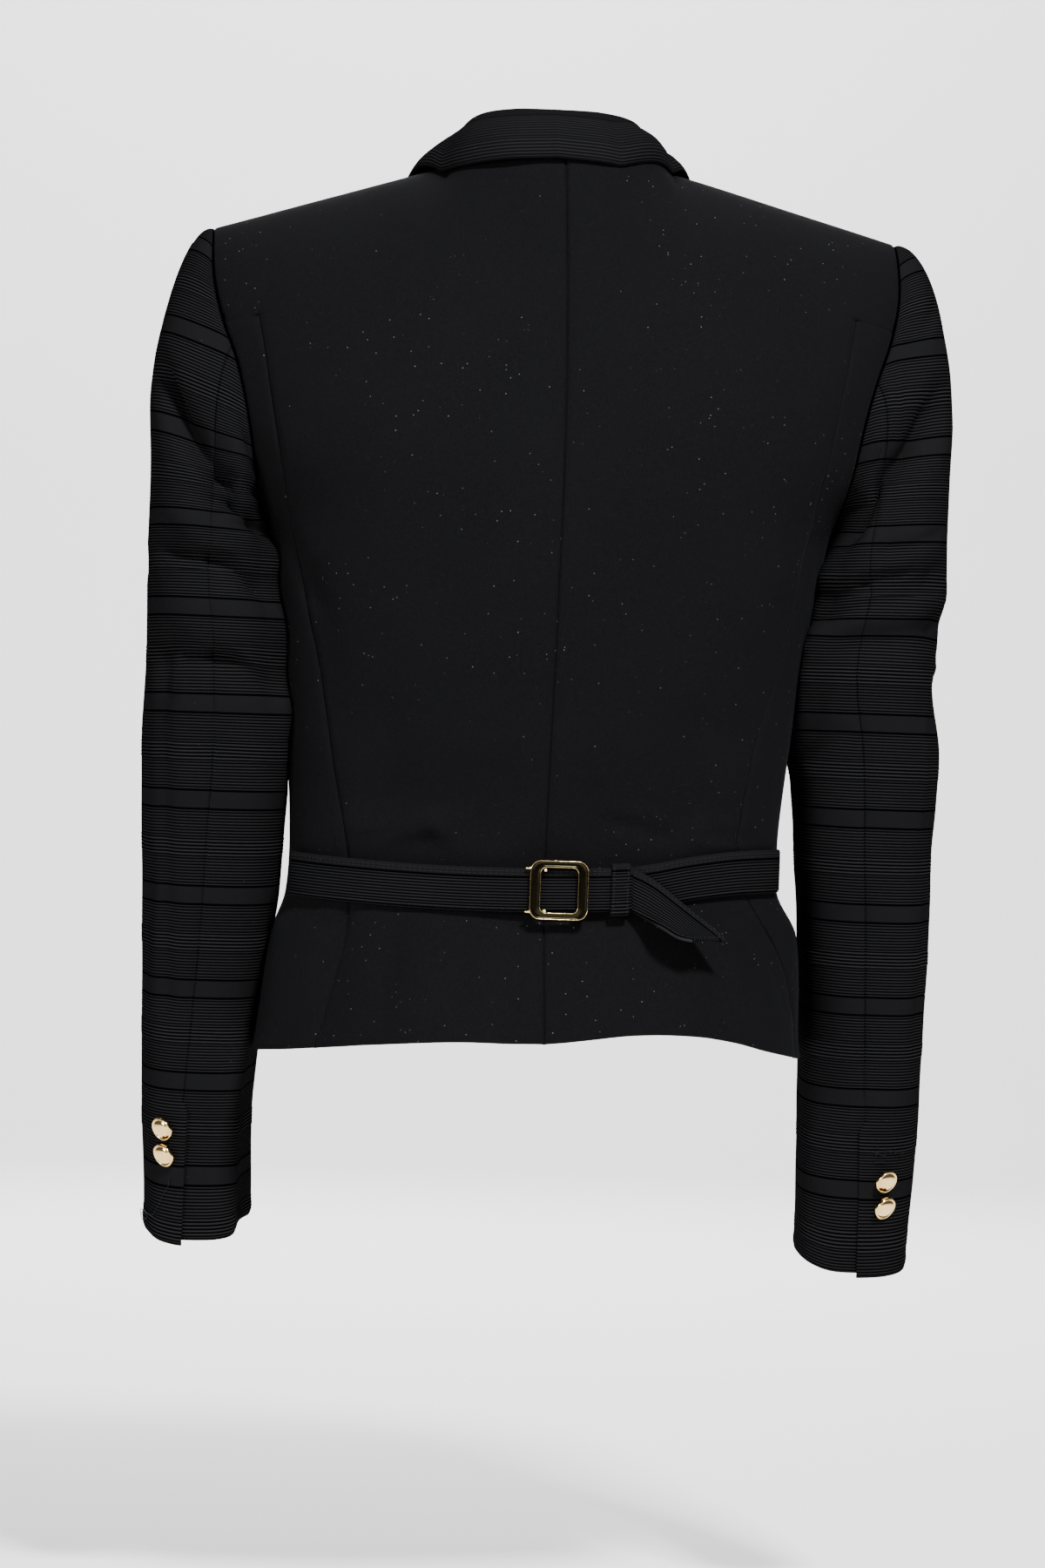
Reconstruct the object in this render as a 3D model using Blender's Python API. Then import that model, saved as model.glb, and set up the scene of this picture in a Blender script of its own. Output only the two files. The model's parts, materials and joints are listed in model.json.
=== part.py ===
"""Cropped blazer in its worn form: a hollow garment of cut and sewn pieces.

Metres, +Z up. The front faces -Y and the wearer's left is +X. The origin is at the
neck, midway between the shoulders, where the wearer holds the garment up.
"""
import math

import bmesh
import bpy
import numpy as np

# Driving sizes
CLOTH = 0.0018            # wall of the crepe body and the ribbed sleeves
COLLAR_CLOTH = 0.0020
BELT_CLOTH = 0.0026       # two layers, stitched
SEAM_GAP = 0.0003         # left between two pieces at a seam
ARMHOLE_GAP = 0.0005      # and where the sleeve meets the body
ARMPIT = -0.207           # height of the armholes' lowest point
NECK_HALF = 0.066         # from the centre to where shoulder seam and collar meet
NECK_BACK_DEPTH = 0.052
NECK_BACK_HEIGHT = 0.016
SHOULDER_SLOPE = {"left": 0.312, "right": 0.270}
SHOULDER_HEIGHT = {"left": 0.0040, "right": 0.0062}  # at the seam's neck end
SHOULDER_ROUND = 2.8      # how late the back turns over the shoulder
LAP = 0.020               # right front over left, past the centre
LAP_LIFT = 0.0032
BELT_HEIGHT = -0.421      # where the belt holds the cloth flat
BREAK_HEIGHT = -0.335     # where the lapels start to roll
GORGE_HEIGHT = -0.070     # where lapel and collar meet at the roll line


class Curve:
    """Smooth curves through a short table, read against its first column."""

    def __init__(self, names, rows):
        columns = np.array(rows, float).T
        self.knots = columns[0]
        self.values = dict(zip(names[1:], columns[1:]))
        self.slopes = {n: np.gradient(v, self.knots) for n, v in self.values.items()}

    def __call__(self, name, at):
        at = np.clip(at, self.knots[0], self.knots[-1])
        i = np.clip(np.searchsorted(self.knots, at) - 1, 0, len(self.knots) - 2)
        step = self.knots[i + 1] - self.knots[i]
        t = (at - self.knots[i]) / step
        value, slope = self.values[name], self.slopes[name]
        ends = (1 + 2 * t) * (1 - t) ** 2 * value[i] + t * t * (3 - 2 * t) * value[i + 1]
        bends = t * (1 - t) ** 2 * slope[i] - t * t * (1 - t) * slope[i + 1]
        return ends + step * bends


# Level sections of the body, from under the hem to the neck
BODY = Curve(
    ("height", "half_width", "back", "front", "square"), (
        (-0.560, 0.1690, 0.128, 0.128, 2.30),
        (-0.510, 0.1620, 0.114, 0.124, 2.30),
        (-0.465, 0.1535, 0.094, 0.120, 2.25),
        (-0.425, 0.1470, 0.080, 0.116, 2.20),
        (-0.385, 0.1470, 0.080, 0.118, 2.20),
        (-0.335, 0.1515, 0.090, 0.130, 2.20),
        (-0.285, 0.1585, 0.101, 0.142, 2.25),
        (-0.240, 0.1655, 0.108, 0.146, 2.30),
        (-0.207, 0.1715, 0.112, 0.140, 2.35),
        (-0.170, 0.1920, 0.114, 0.128, 2.40),
        (-0.130, 0.2040, 0.113, 0.112, 2.45),
        (-0.090, 0.2130, 0.109, 0.098, 2.50),
        (-0.040, 0.2220, 0.102, 0.086, 2.50),
        (0.025, 0.2260, 0.094, 0.078, 2.50),
    ))
# Armhole edge: distance from the centre, on the back and on the front
ARMHOLE = Curve(
    ("height", "back", "front"), (
        (-0.207, 0.1715, 0.1715),
        (-0.195, 0.1740, 0.1670),
        (-0.175, 0.1775, 0.1640),
        (-0.150, 0.1820, 0.1640),
        (-0.120, 0.1895, 0.1690),
        (-0.095, 0.1985, 0.1790),
        (-0.070, 0.2040, 0.1910),
        (-0.035, 0.2045, 0.2045),
    ))
# Side-back seam: distance from the centre on each side
SIDE_SEAM = Curve(
    ("height", "left", "right"), (
        (-0.550, 0.1380, 0.1610),
        (-0.515, 0.1300, 0.1570),
        (-0.485, 0.1222, 0.1500),
        (-0.460, 0.1158, 0.1395),
        (-0.438, 0.1130, 0.1290),
        (-0.408, 0.1146, 0.1175),
        (-0.384, 0.1188, 0.1172),
        (-0.362, 0.1230, 0.1195),
        (-0.328, 0.1296, 0.1258),
        (-0.296, 0.1358, 0.1350),
        (-0.266, 0.1434, 0.1435),
        (-0.236, 0.1507, 0.1490),
        (-0.186, 0.1606, 0.1562),
        (-0.143, 0.1690, 0.1640),
        (-0.104, 0.1761, 0.1713),
        (-0.083, 0.1810, 0.1753),
        (0.000, 0.1900, 0.1860),
    ))
STEP_HEIGHT = {"left": -0.0945, "right": -0.0825}  # the side-back panel's square top
# Hem height against the share of the way round, from centre back to centre front
HEM = Curve(
    ("around", "left", "right"), (
        (0.00, -0.5127, -0.5127),
        (0.10, -0.5137, -0.5061),
        (0.20, -0.5173, -0.5075),
        (0.30, -0.5215, -0.5151),
        (0.40, -0.5243, -0.5201),
        (0.50, -0.5265, -0.5225),
        (0.70, -0.5200, -0.5150),
        (1.00, -0.5130, -0.5130),
        (1.10, -0.5130, -0.5130),
    ))
# The skirt springs out at the sides below the belt: heights where this starts and is
# full, and its reach
SKIRT = {"left": (-0.432, -0.456, 0.0035), "right": (-0.4215, -0.4490, 0.0090)}
SKIRT_END = -0.520
# Collar of one half, from centre back (0) round to the gorge (1): its sewn edge, its
# roll line and its outer edge
COLLAR = Curve(
    ("along", "sewn_x", "sewn_y", "roll_x", "roll_y", "roll_z", "edge_x", "edge_y", "edge_z"), (
        (0.00, 0.000, 0.052, 0.0000, 0.0500, 0.0325, 0.0000, 0.0640, 0.0050),
        (0.14, 0.024, 0.048, 0.0255, 0.0450, 0.0325, 0.0300, 0.0590, 0.0035),
        (0.28, 0.045, 0.038, 0.0450, 0.0330, 0.0300, 0.0540, 0.0430, 0.0005),
        (0.42, 0.059, 0.023, 0.0550, 0.0150, 0.0230, 0.0720, 0.0180, -0.0030),
        (0.56, 0.066, 0.000, 0.0600, -0.0080, 0.0120, 0.0845, -0.0100, -0.0100),
        (0.75, 0.060, -0.030, 0.0580, -0.0350, -0.0110, 0.0890, -0.0400, -0.0270),
        (1.00, 0.0475, -0.070, 0.0475, -0.0740, -0.0650, 0.0840, -0.0780, -0.0740),
    ))
# Lapel: outer edge's distance from the centre against height at the roll line
LAPEL = Curve(
    ("height", "outer"), (
        (-0.335, -0.018),
        (-0.300, 0.014),
        (-0.250, 0.050),
        (-0.200, 0.080),
        (-0.150, 0.103),
        (-0.110, 0.116),
        (-0.070, 0.122),
    ))
# Sleeve below its cap: level sections of the hanging arm, each side hanging its own way
ARM = Curve(
    ("height", "left_in", "left_out", "right_in", "right_out", "centre_y", "half_depth", "tilt"), (
        (-0.660, 0.1600, 0.2240, 0.1740, 0.2395, -0.0530, 0.0400, 0.11),
        (-0.630, 0.1595, 0.2250, 0.1735, 0.2405, -0.0500, 0.0400, 0.11),
        (-0.560, 0.1605, 0.2290, 0.1720, 0.2445, -0.0460, 0.0415, 0.11),
        (-0.500, 0.1560, 0.2310, 0.1695, 0.2445, -0.0400, 0.0430, 0.10),
        (-0.440, 0.1508, 0.2330, 0.1650, 0.2440, -0.0280, 0.0450, 0.08),
        (-0.390, 0.1482, 0.2350, 0.1605, 0.2425, -0.0200, 0.0480, 0.05),
        (-0.365, 0.1455, 0.2358, 0.1582, 0.2432, -0.0153, 0.0500, 0.035),
        (-0.340, 0.1450, 0.2365, 0.1555, 0.2435, -0.0110, 0.0520, 0.02),
        (-0.290, 0.1525, 0.2350, 0.1520, 0.2355, -0.0040, 0.0570, 0.0),
        (-0.245, 0.1620, 0.2360, 0.1620, 0.2395, 0.0000, 0.0610, 0.0),
    ))
ARM_TOP = -0.245
CUFF = {"left": -0.634, "right": -0.643}
ARM_SQUARE = 2.70
# Sleeve seams as turns round the arm, from the outside towards the back
SLEEVE_SEAM = Curve(
    ("height", "back_left", "back_right", "front"), (
        (-0.660, 0.195, 0.244, 0.680),
        (-0.500, 0.232, 0.256, 0.680),
        (-0.350, 0.244, 0.265, 0.680),
        (-0.250, 0.245, 0.280, 0.680),
        (-0.200, 0.246, 0.289, 0.680),
        (-0.110, 0.215, 0.240, 0.680),
    ))
CAP = Curve(
    ("turn", "x", "y", "z"), (
        (0.00, 0.100, 0.000, 0.014),
        (0.12, 0.080, 0.012, 0.000),
        (0.25, 0.052, 0.020, -0.030),
        (0.40, 0.030, 0.004, -0.020),
        (0.50, 0.016, 0.000, -0.014),
        (0.60, 0.030, -0.010, -0.020),
        (0.75, 0.060, -0.026, -0.030),
        (0.88, 0.080, -0.014, 0.000),
        (1.00, 0.100, 0.000, 0.014),
    ))
CAP_PULL = {"left": 0.72, "right": 1.05}
CAP_BULGE = {"left": 0.0060, "right": 0.0045}  # fullness of the upper arm, outside
# Largest folds: each runs from a to b; across is turns on a sleeve, and the distance
# from the centre on the body. A negative depth is a ridge.
FOLD_COLUMNS = ("across_a", "height_a", "across_b", "height_b", "half_width", "depth")
SLEEVE_FOLDS = {
    "left": (
        (0.09, -0.134, 0.29, -0.196, 0.012, 0.0055),
        (0.25, -0.203, 0.40, -0.216, 0.011, 0.0050),
        (0.14, -0.232, 0.36, -0.252, 0.012, 0.0040),
        (0.14, -0.292, 0.40, -0.306, 0.014, 0.0040),
    ),
    "right": (
        (0.13, -0.130, 0.36, -0.202, 0.012, 0.0058),
        (0.14, -0.235, 0.40, -0.252, 0.012, 0.0050),
        (0.10, -0.262, 0.30, -0.274, 0.013, 0.0042),
    ),
}
BODY_FOLDS = {
    "left": (
        (0.112, -0.440, 0.134, -0.525, 0.012, 0.0055),
        (0.105, -0.392, 0.062, -0.388, 0.011, -0.0048),
        (0.071, -0.462, 0.078, -0.535, 0.019, -0.0038),
    ),
    "right": (
        (0.136, -0.438, 0.158, -0.520, 0.012, 0.0055),
        (0.118, -0.398, 0.096, -0.392, 0.011, -0.0035),
        (0.076, -0.460, 0.085, -0.530, 0.019, -0.0038),
    ),
}


def ridge(side, x):
    """Depth and height of the neckline and the shoulder seam at a distance x."""
    share = np.clip(x / NECK_HALF, 0, 1)
    depth = NECK_BACK_DEPTH * np.sqrt(np.maximum(1 - share ** 2, 0))
    low = SHOULDER_HEIGHT[side]
    neck = low + (NECK_BACK_HEIGHT - low) * (1 - share ** 2)
    seam = low - SHOULDER_SLOPE[side] * (np.maximum(x, NECK_HALF) - NECK_HALF)
    return depth, np.where(x < NECK_HALF, neck, seam)


def neck_depth(x, climb):
    """Depth of the neckline, spread wider and softer in the level sections below it."""
    below = 1 - np.clip(climb, 0, 1)
    share = np.clip(x / (NECK_HALF * (1 + 0.9 * below)), 0, 1)
    return NECK_BACK_DEPTH * (1 - share ** 2) ** (0.5 + 1.5 * below)


def smooth_step(x, low, high):
    t = np.clip((x - low) / (high - low), 0, 1)
    return t * t * (3 - 2 * t)


def turned_in(climb, x):
    """How much of the chest's depth is left where the cloth turns over the shoulder."""
    shoulder = np.sqrt(np.maximum(1 - climb ** SHOULDER_ROUND, 0))
    neck = 1 - climb ** 3
    over = smooth_step(x, 0.030, 0.095)
    return neck + (shoulder - neck) * over


def angle_at(x, height):
    """Angle from the centre line at which the level section is x wide."""
    ratio = np.clip(np.abs(x) / BODY("half_width", height), 0, 1)
    return np.sign(x) * np.arcsin(ratio ** (BODY("square", height) / 2))


def skirt(side, x, z):
    """Distance from the centre with the skirt's spring below the belt added."""
    start, full, reach = SKIRT[side]
    share = smooth_step(start - z, 0, start - full) * (1 - smooth_step(full - z, 0, full - SKIRT_END))
    return x + reach * share * smooth_step(x / BODY("half_width", z), 0.75, 1.0)


def fold_depth(folds, across, height, scale=1.0):
    """Soft troughs (or ridges, where negative) along straight lines on the cloth."""
    total = np.zeros(np.broadcast(across, height).shape)
    for row in folds:
        fold = dict(zip(FOLD_COLUMNS, row))
        run = np.array([(fold["across_b"] - fold["across_a"]) * scale,
                        fold["height_b"] - fold["height_a"]])
        length = np.hypot(*run)
        du, dz = (across - fold["across_a"]) * scale, height - fold["height_a"]
        along = (du * run[0] + dz * run[1]) / length
        aside = (du * run[1] - dz * run[0]) / length
        past = np.maximum(np.maximum(-along, along - length), 0)
        half_width = fold["half_width"]
        reach = (aside / half_width) ** 2 + (past / (1.3 * half_width)) ** 2
        total += fold["depth"] * (np.exp(-reach) - 0.35 * np.exp(-reach / 4))
    return total


def back_point(side, u, v):
    """Back half: u runs 0 centre, 1 neck, 2 side-back seam, 3 side; v -1 hem to 1 ridge."""
    u, v = np.broadcast_arrays(np.asarray(u, float), np.asarray(v, float))
    climb = np.sin(np.clip(v, 0, 1) * math.pi / 2)
    z = np.where(v < 0, ARMPIT + (ARMPIT + 0.51) * v, ARMPIT + 0.19 * climb)
    for _ in range(10):
        edge = np.where(v < 0, BODY("half_width", z), ARMHOLE("back", z))
        guides = [0 * z, angle_at(NECK_HALF + 0 * z, z), angle_at(SIDE_SEAM(side, z), z),
                  angle_at(edge, z)]
        step = np.clip(np.floor(u), 0, 2)
        angle = sum(np.where(step == k, guides[k] + (guides[k + 1] - guides[k]) * (u - k), 0)
                    for k in range(3))
        power = 2 / BODY("square", z)
        x = BODY("half_width", z) * np.abs(np.sin(angle)) ** power
        hem = HEM(side, angle / math.pi)
        z_top = ridge(side, x)[1]
        z = np.where(v < 0, ARMPIT + (ARMPIT - hem) * v, ARMPIT + (z_top - ARMPIT) * climb)
    y = BODY("back", z) * np.abs(np.cos(angle)) ** power
    depth_top = neck_depth(x, climb)
    y = np.where(v < 0, y, depth_top + (y - depth_top) * turned_in(climb, x))
    loose = smooth_step(np.abs(z - BELT_HEIGHT), 0.015, 0.032) * smooth_step(y, 0.0, 0.03)
    y = y - fold_depth(BODY_FOLDS[side], x, z) * loose
    return np.stack([skirt(side, x, z), y, z], -1)


def front_edge(side, height):
    """Distance from the centre to the front edge and, above the break, the V."""
    rise = np.clip((height - BREAK_HEIGHT) / (SHOULDER_HEIGHT[side] - BREAK_HEIGHT), 0, 1)
    return -LAP + (NECK_HALF + LAP) * rise ** 0.95


def front_depth(side, x, z):
    """Depth of the front at a distance x from the centre and a height z."""
    power = BODY("square", z)
    ratio = np.clip(np.abs(x) / BODY("half_width", z), 0, 1)
    level = BODY("front", z) * (1 - ratio ** power) ** (1 / power)
    z_top = SHOULDER_HEIGHT[side] - SHOULDER_SLOPE[side] * np.maximum(x - NECK_HALF, 0)
    climb = np.clip((z - ARMPIT) / (z_top - ARMPIT), 0, 1)
    level = level * np.sqrt(1 - climb ** SHOULDER_ROUND)
    lift = LAP_LIFT * (1 - smooth_step(x, 0.024, 0.050)) if side == "right" else 0
    return level + lift


def front_point(side, u, v):
    """Front half: u runs 0 side to 1 front edge; v -1 hem, 0 armpit, 1 shoulder seam."""
    u, v = np.broadcast_arrays(np.asarray(u, float), np.asarray(v, float))
    climb = np.sin(np.clip(v, 0, 1) * math.pi / 2)
    z = np.where(v < 0, ARMPIT + (ARMPIT + 0.51) * v, ARMPIT + 0.19 * climb)
    for _ in range(10):
        edge = np.where(v < 0, BODY("half_width", z), ARMHOLE("front", z))
        start, stop = angle_at(edge, z), angle_at(front_edge(side, z), z)
        angle = start + (stop - start) * u
        power = 2 / BODY("square", z)
        x = BODY("half_width", z) * np.sign(angle) * np.abs(np.sin(angle)) ** power
        hem = HEM(side, 1 - angle / math.pi)
        z_top = SHOULDER_HEIGHT[side] - SHOULDER_SLOPE[side] * np.maximum(x - NECK_HALF, 0)
        z = np.where(v < 0, ARMPIT + (ARMPIT - hem) * v, ARMPIT + (z_top - ARMPIT) * climb)
    return np.stack([skirt(side, x, z), -front_depth(side, x, z), z], -1)


def top_height(side, x, y):
    """Height of the shoulder or neck slope above a point of the plan."""
    z = np.zeros(np.broadcast(x, y).shape)
    for _ in range(12):
        power = BODY("square", z)
        ratio = np.clip(np.abs(x) / BODY("half_width", z), 0, 1)
        reach = np.where(y > 0, BODY("back", z), BODY("front", z))
        reach = reach * (1 - ratio ** power) ** (1 / power)
        z_top = ridge(side, x)[1]
        depth_top = np.where(y > 0, neck_depth(x, (z - ARMPIT) / (z_top - ARMPIT)), 0)
        z_top = np.where(y > 0, z_top, np.minimum(z_top, SHOULDER_HEIGHT[side]))
        left = np.clip((np.abs(y) - depth_top) / (reach - depth_top), 0, 1)
        shoulder = (1 - left ** 2) ** (1 / SHOULDER_ROUND)
        neck = (1 - left) ** (1 / 3)
        over = np.where(y > 0, smooth_step(x, 0.030, 0.095), 1)
        z = ARMPIT + (z_top - ARMPIT) * (neck + (shoulder - neck) * over)
    return z


def armhole_loop(side, turn):
    """The armhole's edge: turn 0 at the shoulder seam, 0.25 back, 0.5 armpit, 0.75 front."""
    v = np.linspace(1, 0, 160) ** 1.5
    halves = (back_point(side, 3, v), front_point(side, 0, v))
    turn = np.mod(turn, 1)
    shares = (np.clip(2 * turn, 0, 1), np.clip(2 - 2 * turn, 0, 1))
    picked = []
    for half, share in zip(halves, shares):
        steps = np.linalg.norm(np.diff(half, axis=0), axis=1)
        length = np.concatenate([[0], np.cumsum(steps)])
        place = share * length[-1]
        picked.append(np.stack([np.interp(place, length, half[:, i]) for i in range(3)], -1))
    return np.where((turn <= 0.5)[..., None], picked[0], picked[1])


FLANK_GAP = 0.0014        # the sleeve rests against the body's flank,
FLANK_SOFT = 0.0020       # leaves it in a curve of about this size,
FLANK_START = 0.010       # and is clear of it this far below the armpit


def flank(side, y, z):
    """Distance from the centre to the body's outer face at a depth y and a height z."""
    power = BODY("square", z)
    reach = np.where(y > 0, BODY("back", z), BODY("front", z))
    ratio = np.clip(np.abs(y) / reach, 0, 1)
    return skirt(side, BODY("half_width", z) * (1 - ratio ** power) ** (1 / power), z)


def off_flank(side, point):
    """A sleeve point's distance from the centre, kept outside the flank."""
    x, y, z = np.moveaxis(point, -1, 0)
    beside = flank(side, y, z) + FLANK_GAP
    outside = (x + beside + np.sqrt((x - beside) ** 2 + FLANK_SOFT ** 2)) / 2
    return x + (outside - x) * smooth_step(ARMPIT - z, 0, FLANK_START)


def arm_point(side, turn, height):
    """Sleeve section at a height of the hanging arm."""
    angle = 2 * math.pi * turn
    inner, outer = ARM(side + "_in", height), ARM(side + "_out", height)
    round_x = np.sign(np.cos(angle)) * np.abs(np.cos(angle)) ** (2 / ARM_SQUARE)
    round_y = np.sign(np.sin(angle)) * np.abs(np.sin(angle)) ** (2 / ARM_SQUARE)
    x = (inner + outer) / 2 + (outer - inner) / 2 * round_x
    y = ARM("half_depth", height) * round_y
    z = height - ARM("tilt", height) * y
    return np.stack([x, y + ARM("centre_y", height), z], -1)


def sleeve_point(side, turn, along):
    """Sleeve: along 0 armhole to 1 below the armpit, on to 2 at the cuff."""
    turn, along = np.broadcast_arrays(np.asarray(turn, float), np.asarray(along, float))
    start = armhole_loop(side, turn) + np.array([ARMHOLE_GAP, 0, 0])
    start[..., 2] -= ARMHOLE_GAP * np.sin(np.pi * np.mod(turn, 1)) ** 2
    leave = np.stack([CAP(axis, np.mod(turn, 1)) for axis in "xyz"], -1)
    leave[..., 0] *= CAP_PULL[side]
    stop = arm_point(side, turn, ARM_TOP + 0 * turn)
    drop = np.linalg.norm(stop - start, axis=-1, keepdims=True)
    arrive = drop * np.array([0.0, 0.0, -0.95])
    t = np.clip(along, 0, 1)[..., None]
    cap = ((1 + 2 * t) * (1 - t) ** 2 * start + t * t * (3 - 2 * t) * stop
           + t * (1 - t) ** 2 * leave - t * t * (1 - t) * arrive)
    outside = np.maximum(np.cos(2 * math.pi * turn), 0)[..., None]
    cap = cap + CAP_BULGE[side] * outside * np.sin(math.pi * t) ** 2 * np.array([1.0, 0.0, 0.0])
    height = ARM_TOP + (CUFF[side] - ARM_TOP) * np.clip(along - 1, 0, 1)
    points = np.where((along > 1)[..., None], arm_point(side, turn, height), cap)
    points[..., 0] = off_flank(side, points)
    return points


def normals(grid, outward):
    """Unit normals of a grid of points, on the side that faces away from a point."""
    rows = np.gradient(grid, axis=0)
    columns = np.gradient(grid, axis=1)
    cross = np.cross(rows, columns)
    cross /= np.maximum(np.linalg.norm(cross, axis=-1, keepdims=True), 1e-12)
    middle = tuple(n // 2 for n in grid.shape[:2])
    facing = np.dot(cross[middle], grid[middle] - np.asarray(outward))
    return cross if facing > 0 else -cross


def paint(name, color, roughness, metallic=0.0):
    material = bpy.data.materials.new(name)
    material.use_nodes = True
    shader = material.node_tree.nodes["Principled BSDF"]
    shader.inputs["Base Color"].default_value = (*color, 1)
    shader.inputs["Roughness"].default_value = roughness
    shader.inputs["Metallic"].default_value = metallic
    material.diffuse_color = (*color, 1)
    return material


def add_object(name, bm, looks):
    mesh = bpy.data.meshes.new(name)
    bmesh.ops.recalc_face_normals(bm, faces=bm.faces)
    bm.to_mesh(mesh)
    bm.free()
    mesh.shade_smooth()
    mesh.set_sharp_from_angle(angle=math.radians(40))
    mesh.materials.append(paint(name + "_paint", *looks))
    obj = bpy.data.objects.new(name, mesh)
    bpy.data.collections["cropped_blazer"].objects.link(obj)
    return obj


def seam_insets(grid, quads, gap):
    """Grid points moved in from every open edge of the kept quads, along the cloth."""
    loose = {}
    for r, c in quads:
        ring = [(r, c), (r, c + 1), (r + 1, c + 1), (r + 1, c)]
        for a, b in zip(ring, ring[1:] + ring[:1]):
            key = frozenset((a, b))
            loose[key] = None if key in loose else (a, b, ring)
    inward = {}
    for edge in filter(None, loose.values()):
        a, b, ring = edge
        run = grid[b] - grid[a]
        run = run / np.linalg.norm(run)
        middle = sum(grid[k] for k in ring) / 4 - grid[a]
        aside = middle - run * np.dot(middle, run)
        aside = aside / np.linalg.norm(aside)
        for corner in (a, b):
            inward.setdefault(corner, []).append(aside)
    moved = grid.copy()
    for corner, sides in inward.items():
        total = sum(sides)
        spread = 1 + np.dot(sides[0], sides[-1]) if len(sides) > 1 else 1
        moved[corner] = grid[corner] + gap * total / max(spread, 0.3)
    return moved, [edge[:2] for edge in loose.values() if edge]


def cloth_wall(name, outer, outward, thickness, looks, skip=(), gap=SEAM_GAP / 2):
    """Closed wall of cloth: the grid is its outer face, moved in along the normals."""
    rows, columns = outer.shape[:2]
    quads = [(r, c) for r in range(rows - 1) for c in range(columns - 1) if (r, c) not in skip]
    moved, rim = seam_insets(outer, quads, gap)
    bm = bmesh.new()
    faces = {}
    for r, c in quads:
        for corner in ((r, c), (r, c + 1), (r + 1, c + 1), (r + 1, c)):
            if corner not in faces:
                inner = moved[corner] - outward[corner] * thickness
                faces[corner] = (bm.verts.new(moved[corner]), bm.verts.new(inner))
    for r, c in quads:
        ring = [(r, c), (r, c + 1), (r + 1, c + 1), (r + 1, c)]
        bm.faces.new([faces[k][0] for k in ring])
        bm.faces.new([faces[k][1] for k in reversed(ring)])
    for a, b in rim:
        bm.faces.new((faces[b][0], faces[a][0], faces[a][1], faces[b][1]))
    return add_object(name, bm, looks)


def handed(side, points):
    """Points of the half at +X, mirrored for the wearer's right."""
    return points if side == "left" else points * np.array([-1.0, 1.0, 1.0])


# Looks: colour, roughness, metallic
CREPE = ((0.013, 0.013, 0.014), 0.85)
RIBBED = ((0.016, 0.016, 0.018), 0.5)
GUNMETAL = ((0.16, 0.13, 0.07), 0.35, 1.0)
GOLD = ((0.83, 0.58, 0.25), 0.2, 1.0)

# Grid steps of the body, in the parameters of back_point and front_point
NECK_STEPS, BACK_STEPS, SIDE_STEPS, FRONT_STEPS = 3, 4, 4, 9
LOW_STEPS, HIGH_STEPS = 17, 10
AXIS = (0.0, 0.0, -0.3)


def step_share(side):
    """Share of the climb from armpit to shoulder at the side-back panel's top corner."""
    x = SIDE_SEAM(side, STEP_HEIGHT[side])
    top = float(ridge(side, x)[1])
    return math.asin((STEP_HEIGHT[side] - ARMPIT) / (top - ARMPIT)) * 2 / math.pi


def body_rows(side):
    """Row parameters from hem to shoulder, with a row on the panel's top corner."""
    corner = step_share(side)
    below = max(2, round(HIGH_STEPS * corner))
    low = np.linspace(-1, 0, LOW_STEPS + 1)
    middle = np.linspace(0, corner, below + 1)[1:]
    high = np.linspace(corner, 1, HIGH_STEPS - below + 1)[1:]
    return np.concatenate([low, middle, high]), LOW_STEPS + below


def body_panels(side):
    v, corner_row = body_rows(side)
    u = np.concatenate([np.linspace(0, 1, NECK_STEPS + 1), np.linspace(1, 2, BACK_STEPS + 1)[1:],
                        np.linspace(2, 3, SIDE_STEPS + 1)[1:]])
    back = back_point(side, u[None, :], v[:, None])
    front = front_point(side, np.linspace(0, 1, FRONT_STEPS + 1)[None, :], v[:, None])
    level = normals(back, AXIS)
    level[:, 0, 0] = 0.0
    front_level = normals(front, AXIS)
    low = v <= 0
    shared = level[low, -1] + front_level[low, 0]
    shared[:, 1] = 0.0
    level[low, -1] = front_level[low, 0] = shared
    slope = np.array([SHOULDER_SLOPE[side], 0.0, 1.0])
    on_shoulder = back[-1, :, 0] >= NECK_HALF - 1e-6
    level[-1, on_shoulder] = front_level[-1, :] = slope
    for field in (level, front_level):
        field /= np.linalg.norm(field, axis=-1, keepdims=True)
    seam = NECK_STEPS + BACK_STEPS
    below_step = {(r, c) for r in range(corner_row) for c in range(seam, len(u) - 1)}
    cloth_wall("back_" + side, handed(side, back), handed(side, level), CLOTH, CREPE, below_step)
    top = corner_row + 1
    cloth_wall("side_" + side, handed(side, back[:top, seam:]), handed(side, level[:top, seam:]),
               CLOTH, CREPE)
    cloth_wall("front_" + side, handed(side, front), handed(side, front_level), CLOTH, CREPE)


TOP_STEPS, UNDER_STEPS = 10, 8
CAP_STEPS, ARM_STEPS = 8, 15


def seam_turn(name, along):
    height = np.where(along > 1, ARM_TOP + (CUFF["left"] - ARM_TOP) * (along - 1),
                      -0.11 + (ARM_TOP + 0.11) * along)
    return SLEEVE_SEAM(name, height)


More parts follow.
